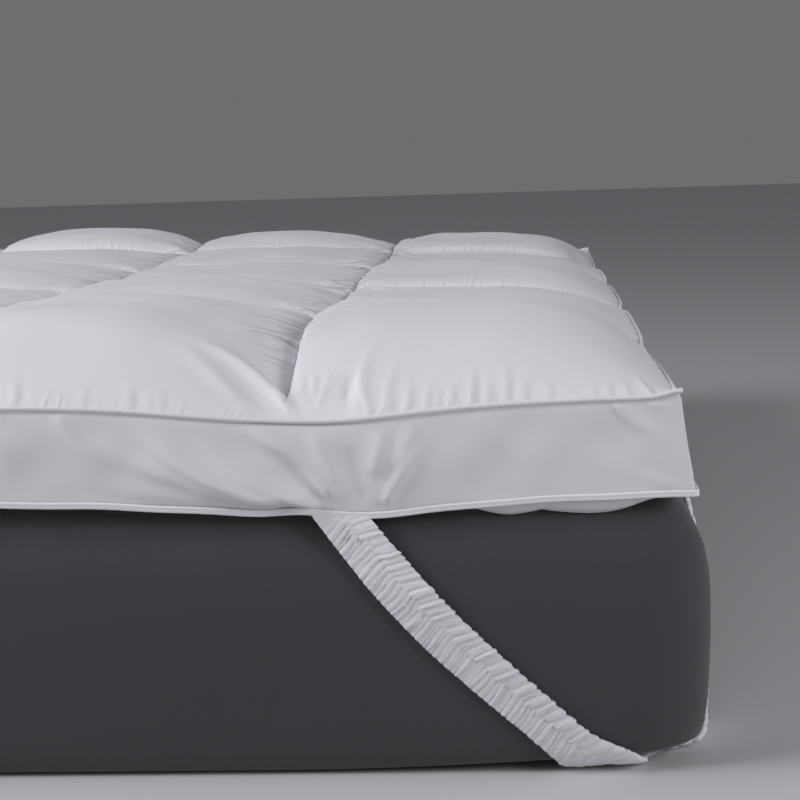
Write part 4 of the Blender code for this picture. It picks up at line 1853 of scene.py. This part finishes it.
    def ruche(self, run: Array, across: Array, skew: Array, width: Array, seed: int) -> tuple[Array, Array]:
        """Gathers of the cloth: their height, and how far they move an edge.

        Args:
            run: distance along the strap.
            across: share of its width, from the lower edge.
            skew: sine of the angle by which a cut is off square, forwards at the upper edge.
            width: length of the cut.
            seed: seed of the spacing.

        Returns:
            Metres out of the band, and metres along its width.
        """
        rng = np.random.default_rng(seed)
        length = run.max()
        relief, edge = np.zeros_like(run), np.zeros_like(run)
        signed = (across - self.stitch_share) * width
        square = run + signed * skew
        reach = abs(signed) * np.sqrt(1 - skew ** 2)
        for upper, kind in enumerate(self.ruchings):
            count = int(length / kind.pitch) + 14
            places = np.cumsum(rng.uniform(*self.pitch_range, count)) * kind.pitch - 7 * kind.pitch
            heights = kind.height * rng.uniform(*self.height_range, count)
            leans = kind.lean + rng.uniform(*self.lean_range, count)
            wander = self.wander * value_waves(run, signed, seed + 5 + upper, 0.040)
            first = np.clip(np.searchsorted(places, square - kind.lean * reach) - 1, 0, count - 1)
            at = square - leans[first] * reach + wander
            k = np.clip(np.searchsorted(places, at) - 1, 0, count - 2)
            t = 2 * np.clip((at - places[k]) / (places[k + 1] - places[k]), 0, 1) - 1
            # a ridge is steep on its lower side and soft above, as gathered cloth falls over
            t = t - self.overhang * (1 - t ** 2)
            ridge = (1 - abs(t) ** kind.fullness) * heights[k]
            ridge += self.roughness * value_waves(at / 0.6, signed / 4, seed + upper, 0.004)
            # the stitches wander a little, so the two sets of gathers don't meet in a line
            seam = self.stitch_share + self.seam_wander * value_waves(run, 0 * run, seed + 3, 0.022)
            past = across - seam if upper else seam - across
            inside = rise(past / self.seam_blend + 0.5)
            span = (1 - self.stitch_share) if upper else self.stitch_share
            s = np.clip(abs(across - self.stitch_share) / span, 0, 1)
            puff = (1 - (1 - s) ** 3) * (1 - 0.75 * rise((s - 0.72) / 0.28))
            relief += inside * (ridge * (0.80 + 0.20 * puff) + kind.body * puff)
            edge += inside * (ridge - 0.5 * kind.height) * rise((s - 0.5) / 0.5) * kind.edge_shift
        for tuck in self.tucks:
            for begin in (run, length - run):
                way = begin - tuck.place
                off = (signed - tuck.aside + tuck.slope * way) / self.tuck_width
                relief += tuck.height * bell(off) * bell(way / tuck.length)
        ends = 0.2 + 0.8 * rise(np.minimum(run, length - run) / self.calm_ends)
        return relief * ends, edge * ends

    def build(self, material: bpy.types.Material, seed: int) -> bpy.types.Object:
        """The strap as one closed band, gathered on its outer face.

        Args:
            material: its finish.
            seed: seed of its gathers.

        Returns:
            The strap.
        """
        fine = np.linspace(0, 2, 600)
        middle = self.whole(fine, np.full_like(fine, 0.5), np.zeros_like(fine))
        lengths = np.concatenate(([0.0], np.cumsum(np.linalg.norm(np.diff(middle, axis=0), axis=1))))
        rings = int(lengths[-1] / self.step)
        runs = np.linspace(0, lengths[-1], rings)
        places = np.interp(runs, lengths, fine)
        flat = np.zeros_like(places)
        cut = self.whole(places, flat + 1, flat) - self.whole(places, flat, flat)
        width = np.linalg.norm(cut, axis=1)
        tangent = np.gradient(self.whole(places, flat + 0.5, flat), axis=0)
        tangent /= np.linalg.norm(tangent, axis=1, keepdims=True)
        skew = (cut * tangent).sum(axis=1) / width

        shares = np.linspace(0, 1, self.across + 1)
        run, across = np.meshgrid(runs, shares, indexing="ij")
        place = np.repeat(places[:, None], self.across + 1, axis=1)
        relief, edge = self.ruche(run, across, skew[:, None], width[:, None], seed)
        moved = across + edge / width[:, None] * np.where(across > 0.5, 1, -1)
        outer = self.whole(place, moved, self.thickness / 2 + relief)
        back = shares[::-1][:: self.across // 4]
        across_b = np.repeat(back[None, :], rings, axis=0)
        moved_b = across_b + np.where(
            across_b == 0, moved[:, :1], np.where(across_b == 1, moved[:, -1:] - 1, 0.0)
        )
        inner = self.whole(np.repeat(places[:, None], len(back), axis=1), moved_b, -self.thickness / 2)
        ring = self.to_world(np.concatenate((outer, inner), axis=1))
        rows, columns = ring.shape[:2]
        faces = grid_faces(rows, columns, closed=True).tolist()
        faces.append(tuple(range(columns)))
        faces.append(tuple(range(rows * columns - 1, (rows - 1) * columns - 1, -1)))
        piece = mesh_piece(self.corner.node + "_cloth", ring.reshape(-1, 3), faces, material)
        self.length = float(lengths[-1])
        self.seam_line = self.to_world(
            self.whole(places, flat + self.stitch_share, flat + 0.0021)
        )
        return piece

    def to_world(self, points: Array) -> Array:
        """Places in the corner as places in the bed.

        Args:
            points: distances in from both sides of the mattress, and heights.

        Returns:
            The points in the frame.
        """
        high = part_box("mattress")[1]
        side_x, side_y = self.corner.value
        return np.stack((
            side_x * (high.x - points[..., 0]), side_y * (high.y - points[..., 1]), points[..., 2]
        ), axis=-1)


# ---------------------------------------------------------------- mattress


@dataclass
class Mattress:
    """A plain block with round corners and full sides in smooth cloth."""

    corner_radius: float = 0.075
    least_radius: float = 0.02
    lift: CornerLift = CornerLift()
    # the flat underside starts this far in, and further by the second measure at a corner
    flat_inset: tuple[float, float] = (0.02, 0.30)
    side_step: float = 0.012
    corner_steps: int = 16
    # from the floor to the top: height, and how far in from the fullest line
    side: tuple[tuple[float, float], ...] = (
        (0.0000, 0.024),
        (0.0030, 0.015),
        (0.0120, 0.009),
        (0.0300, 0.005),
        (0.0700, 0.002),
        (0.1300, 0.000),
        (0.1850, 0.002),
        (0.2120, 0.008),
        (0.2310, 0.0175),
        (0.2480, 0.028),
        (0.2590, 0.042),
        (0.2645, 0.058),
        (0.2660, 0.080),
    )
    # mesh levels between two rows of the side, and the height up to which the side is straight
    level_counts: tuple[int, ...] = (2, 3, 4, 5, 6, 6, 4, 4, 4, 3, 3, 2)
    straight_foot: float = 0.004

    def outline(self, inset: float) -> Array:
        """Plan at one level, once round, with round corners.

        Args:
            inset: how far in the level lies from the fullest line.

        Returns:
            The points, as (count, 2).
        """
        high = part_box("mattress")[1]
        half_x, half_y = high.x - inset, high.y - inset
        radius = max(self.corner_radius - inset, self.least_radius)
        points = []
        for quarter, (sx, sy) in enumerate(((1, -1), (1, 1), (-1, 1), (-1, -1))):
            turn = math.radians(90) * (quarter - 1 + np.linspace(0, 1, self.corner_steps + 1))
            cx, cy = sx * (half_x - radius), sy * (half_y - radius)
            points.append(np.stack((cx + radius * np.cos(turn), cy + radius * np.sin(turn)), axis=-1))
            full, half = ((high.y, half_y), (high.x, half_x))[quarter % 2]
            count = int(2 * (full - self.corner_radius) / self.side_step) + 1
            t = np.linspace(0, 1, count)[1:-1, None]
            step = ((0, 1), (-1, 0), (0, -1), (1, 0))[quarter]
            points.append(points[-1][-1] + t * (half - radius) * 2 * np.asarray(step, float))
        return np.concatenate(points)

    def corner_way(self, plan: Array) -> Array:
        """Distance of points of a level from the nearest corner."""
        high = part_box("mattress")[1]
        return np.hypot(high.x - abs(plan[:, 0]), high.y - abs(plan[:, 1]))

    def build(self, material: bpy.types.Material) -> bpy.types.Object:
        """The mattress as one closed body.

        Args:
            material: its finish.

        Returns:
            The mattress.
        """
        heights, insets = zip(*self.side)
        levels = np.concatenate([
            np.linspace(low, high, count, endpoint=False)
            for low, high, count in zip(heights, heights[1:], self.level_counts)
        ] + [[heights[-1]]])
        first = self.outline(insets[0])
        depth = self.flat_inset[0] + self.flat_inset[1] * fading(self.corner_way(first), self.lift.reach)
        flat = first - np.sign(first) * depth[:, None]
        rings = [np.column_stack((flat, np.zeros(len(flat))))]
        for level in levels:
            read = np.interp if level < self.straight_foot else hermite
            plan = self.outline(float(read(level, heights, insets)))
            rings.append(np.column_stack((plan, level + self.lift.at(self.corner_way(plan), level))))
        points = np.concatenate(rings)
        count = len(flat)
        faces = grid_faces(len(rings), count, closed=True).tolist()
        faces.append(tuple(range(count - 1, -1, -1)))
        faces.append(tuple(range(len(points) - count, len(points))))
        return mesh_piece("mattress_body", points, faces, material)


# ---------------------------------------------------------------- studio


@dataclass(frozen=True)
class SoftLight:
    """One square soft light.

    Attributes:
        name: name of the light.
        place: where it hangs.
        aim: what it points at.
        size: side of the square.
        power: watts.
    """

    name: str
    place: tuple[float, float, float]
    aim: tuple[float, float, float]
    size: float
    power: float

    def hang(self, colour: tuple[float, float, float]) -> None:
        """Puts the light in the scene, in this colour.

        Args:
            colour: colour of its light.
        """
        data = bpy.data.lights.new(self.name, "AREA")
        data.shape, data.size, data.energy, data.color = "SQUARE", self.size, self.power, colour
        lamp = put(self.name, data)
        lamp.location = self.place
        lamp.rotation_euler = (Vector(self.aim) - Vector(self.place)).to_track_quat("-Z", "Y").to_euler()


@dataclass
class Studio:
    """Pale floor, soft lights and the camera at the photograph's angle."""

    location: tuple[float, float, float] = (0.5907, -2.6173, 0.6059)
    down: float = 8.601
    left: float = 3.829
    roll: float = -1.879
    lens: float = 79.08
    floor_size: float = 30.0
    floor_gap: float = 0.0008
    air_strength: float = 0.26
    air_colour: tuple[float, float, float] = (0.60, 0.61, 0.64)
    backdrop: tuple[float, float, float] = (0.155, 0.155, 0.16)
    floor_colour: tuple[float, float, float] = (0.62, 0.62, 0.63)
    light_colour: tuple[float, float, float] = (0.97, 0.975, 1.0)
    lights: tuple[SoftLight, ...] = (
        SoftLight("key", (-3.2, -1.6, 2.6), (0.2, -0.3, 0.35), 2.2, 124.0),
        SoftLight("low_fill", (-3.4, -2.6, 1.2), (0.0, -0.9, 0.3), 1.4, 16.0),
        SoftLight("right_fill", (3.4, -2.4, 1.6), (0.6, -0.9, 0.3), 1.4, 52.0),
    )

    def camera(self) -> None:
        """Places the camera, 800 x 800 pixels in mind."""
        data = bpy.data.cameras.new("photo_camera")
        data.lens, data.sensor_width = self.lens, 36.0
        data.clip_start, data.clip_end = 0.05, 80.0
        eye = put("photo_camera", data)
        down, left, roll = (math.radians(a) for a in (self.down, self.left, self.roll))
        forward = Vector((
            -math.sin(left) * math.cos(down), math.cos(left) * math.cos(down), -math.sin(down)
        ))
        right = Vector((math.cos(left), math.sin(left), 0.0))
        up = right.cross(forward)
        level_right = right * math.cos(roll) + up * math.sin(roll)
        level_up = up * math.cos(roll) - right * math.sin(roll)
        turn = Matrix((level_right, level_up, -forward)).transposed().to_4x4()
        eye.matrix_world = Matrix.Translation(Vector(self.location)) @ turn
        bpy.context.scene.camera = eye

    def floor(self) -> None:
        """A large pale floor just under the mattress."""
        half = self.floor_size / 2
        mesh = bpy.data.meshes.new("studio_floor")
        corners = [(-half, -half), (half, -half), (half, half), (-half, half)]
        mesh.from_pydata([(x, y, -self.floor_gap) for x, y in corners], [], [(0, 1, 2, 3)])
        made = bpy.data.materials.new("pale_floor")
        made.use_nodes = True
        ShaderTree(made.node_tree).feed(made.node_tree.nodes["Principled BSDF"], {
            "Base Color": (*self.floor_colour, 1.0), "Roughness": 0.9, "Specular IOR Level": 0.1,
        })
        mesh.materials.append(made)
        slab = put("studio_floor", mesh)

    def air(self) -> bpy.types.World:
        """The soft light from all round, seen behind the floor in the floor's own far tone.

        Returns:
            The world.
        """
        world = bpy.data.worlds.new("studio_air")
        world.use_nodes = True
        tree = ShaderTree(world.node_tree)
        light = tree.feed(world.node_tree.nodes["Background"], {
            "Color": (*self.air_colour, 1.0), "Strength": self.air_strength,
        })
        seen = tree.feed(tree.node("ShaderNodeBackground"), {"Color": (*self.backdrop, 1.0)})
        path = tree.node("ShaderNodeLightPath")
        mix = tree.feed(tree.node("ShaderNodeMixShader"), {
            "Fac": path.outputs["Is Camera Ray"], 1: light.outputs[0], 2: seen.outputs[0],
        })
        tree.feed(world.node_tree.nodes["World Output"], {"Surface": mix.outputs[0]})
        return world

    def build(self) -> None:
        """Everything that lights and frames the bed."""
        self.camera()
        self.floor()
        for lamp in self.lights:
            lamp.hang(self.light_colour)
        bpy.context.scene.world = self.air()
        bpy.context.scene.view_settings.view_transform = "Standard"


# ---------------------------------------------------------------- the whole bed


def report(piece: bpy.types.Object) -> None:
    """Writes a line on one piece."""
    LOG.info("%s: %d faces", piece.name, len(piece.data.polygons))


def build_topper(wardrobe: Wardrobe, cord: GeometryTree) -> None:
    """The topper's panel, side and both pipings.

    Args:
        wardrobe: the finishes.
        cord: the tree that sweeps a piping.
    """
    sizes = TopperMeasures()
    run = EdgeRun()
    panel = QuiltedPanel(sizes).build(wardrobe.of(wardrobe.topper))
    side = BoxedSide(sizes, run).build(wardrobe.of(wardrobe.box))
    for piece in (panel, side):
        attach(piece, "root")
        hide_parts("topper")
        report(piece)
    u, v = run.places(sizes)
    out = run.outward(u, v)
    binding = wardrobe.of(wardrobe.binding)
    top = Piping("top_piping_cord", "top_piping", 0.0021, 1.0, -0.0008, 0.0004, 0.0006, 0.0, 3.0)
    report(top.build(cord, sizes.panel(u, v), out, binding))
    bottom = Piping("bottom_piping_cord", "bottom_piping", 0.0034, 0.60, 0.0000, 0.0, 0.0008, 0.55, 7.0)
    report(bottom.build(cord, sizes.bottom(u, v), out, binding))


def build_straps(wardrobe: Wardrobe, stitches: GeometryTree) -> None:
    """The four corner straps, each with the stitches along its middle.

    Args:
        wardrobe: the finishes.
        stitches: the tree that sews a line of stitches.
    """
    values = {"Step": 0.0034, "Length": 0.0027, "Thickness": 0.0008, "Material": wardrobe.of(wardrobe.thread)}
    for seed, corner in enumerate(Corner):
        strap = CornerStrap(corner)
        cloth = strap.build(wardrobe.of(wardrobe.elastic), 100 + 10 * seed)
        sewing = stitches.run(guide_line(strap.seam_line, False), corner.node + "_stitches", values)
        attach(cloth, "root")
        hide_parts(corner.node)
        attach(sewing, "root")
        report(cloth)
        report(sewing)


def main() -> None:
    """Builds the studio and the bed, and logs the face count of each piece it makes."""
    logging.basicConfig(level=logging.INFO, format="%(message)s")
    Studio().build()
    wardrobe = Wardrobe()
    wardrobe.dress()
    body = Mattress().build(wardrobe.of(wardrobe.charcoal))
    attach(body, "root")
    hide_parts("mattress")
    report(body)
    build_topper(wardrobe, cord_tree())
    build_straps(wardrobe, stitch_tree())


if __name__ == "__main__":
    main()
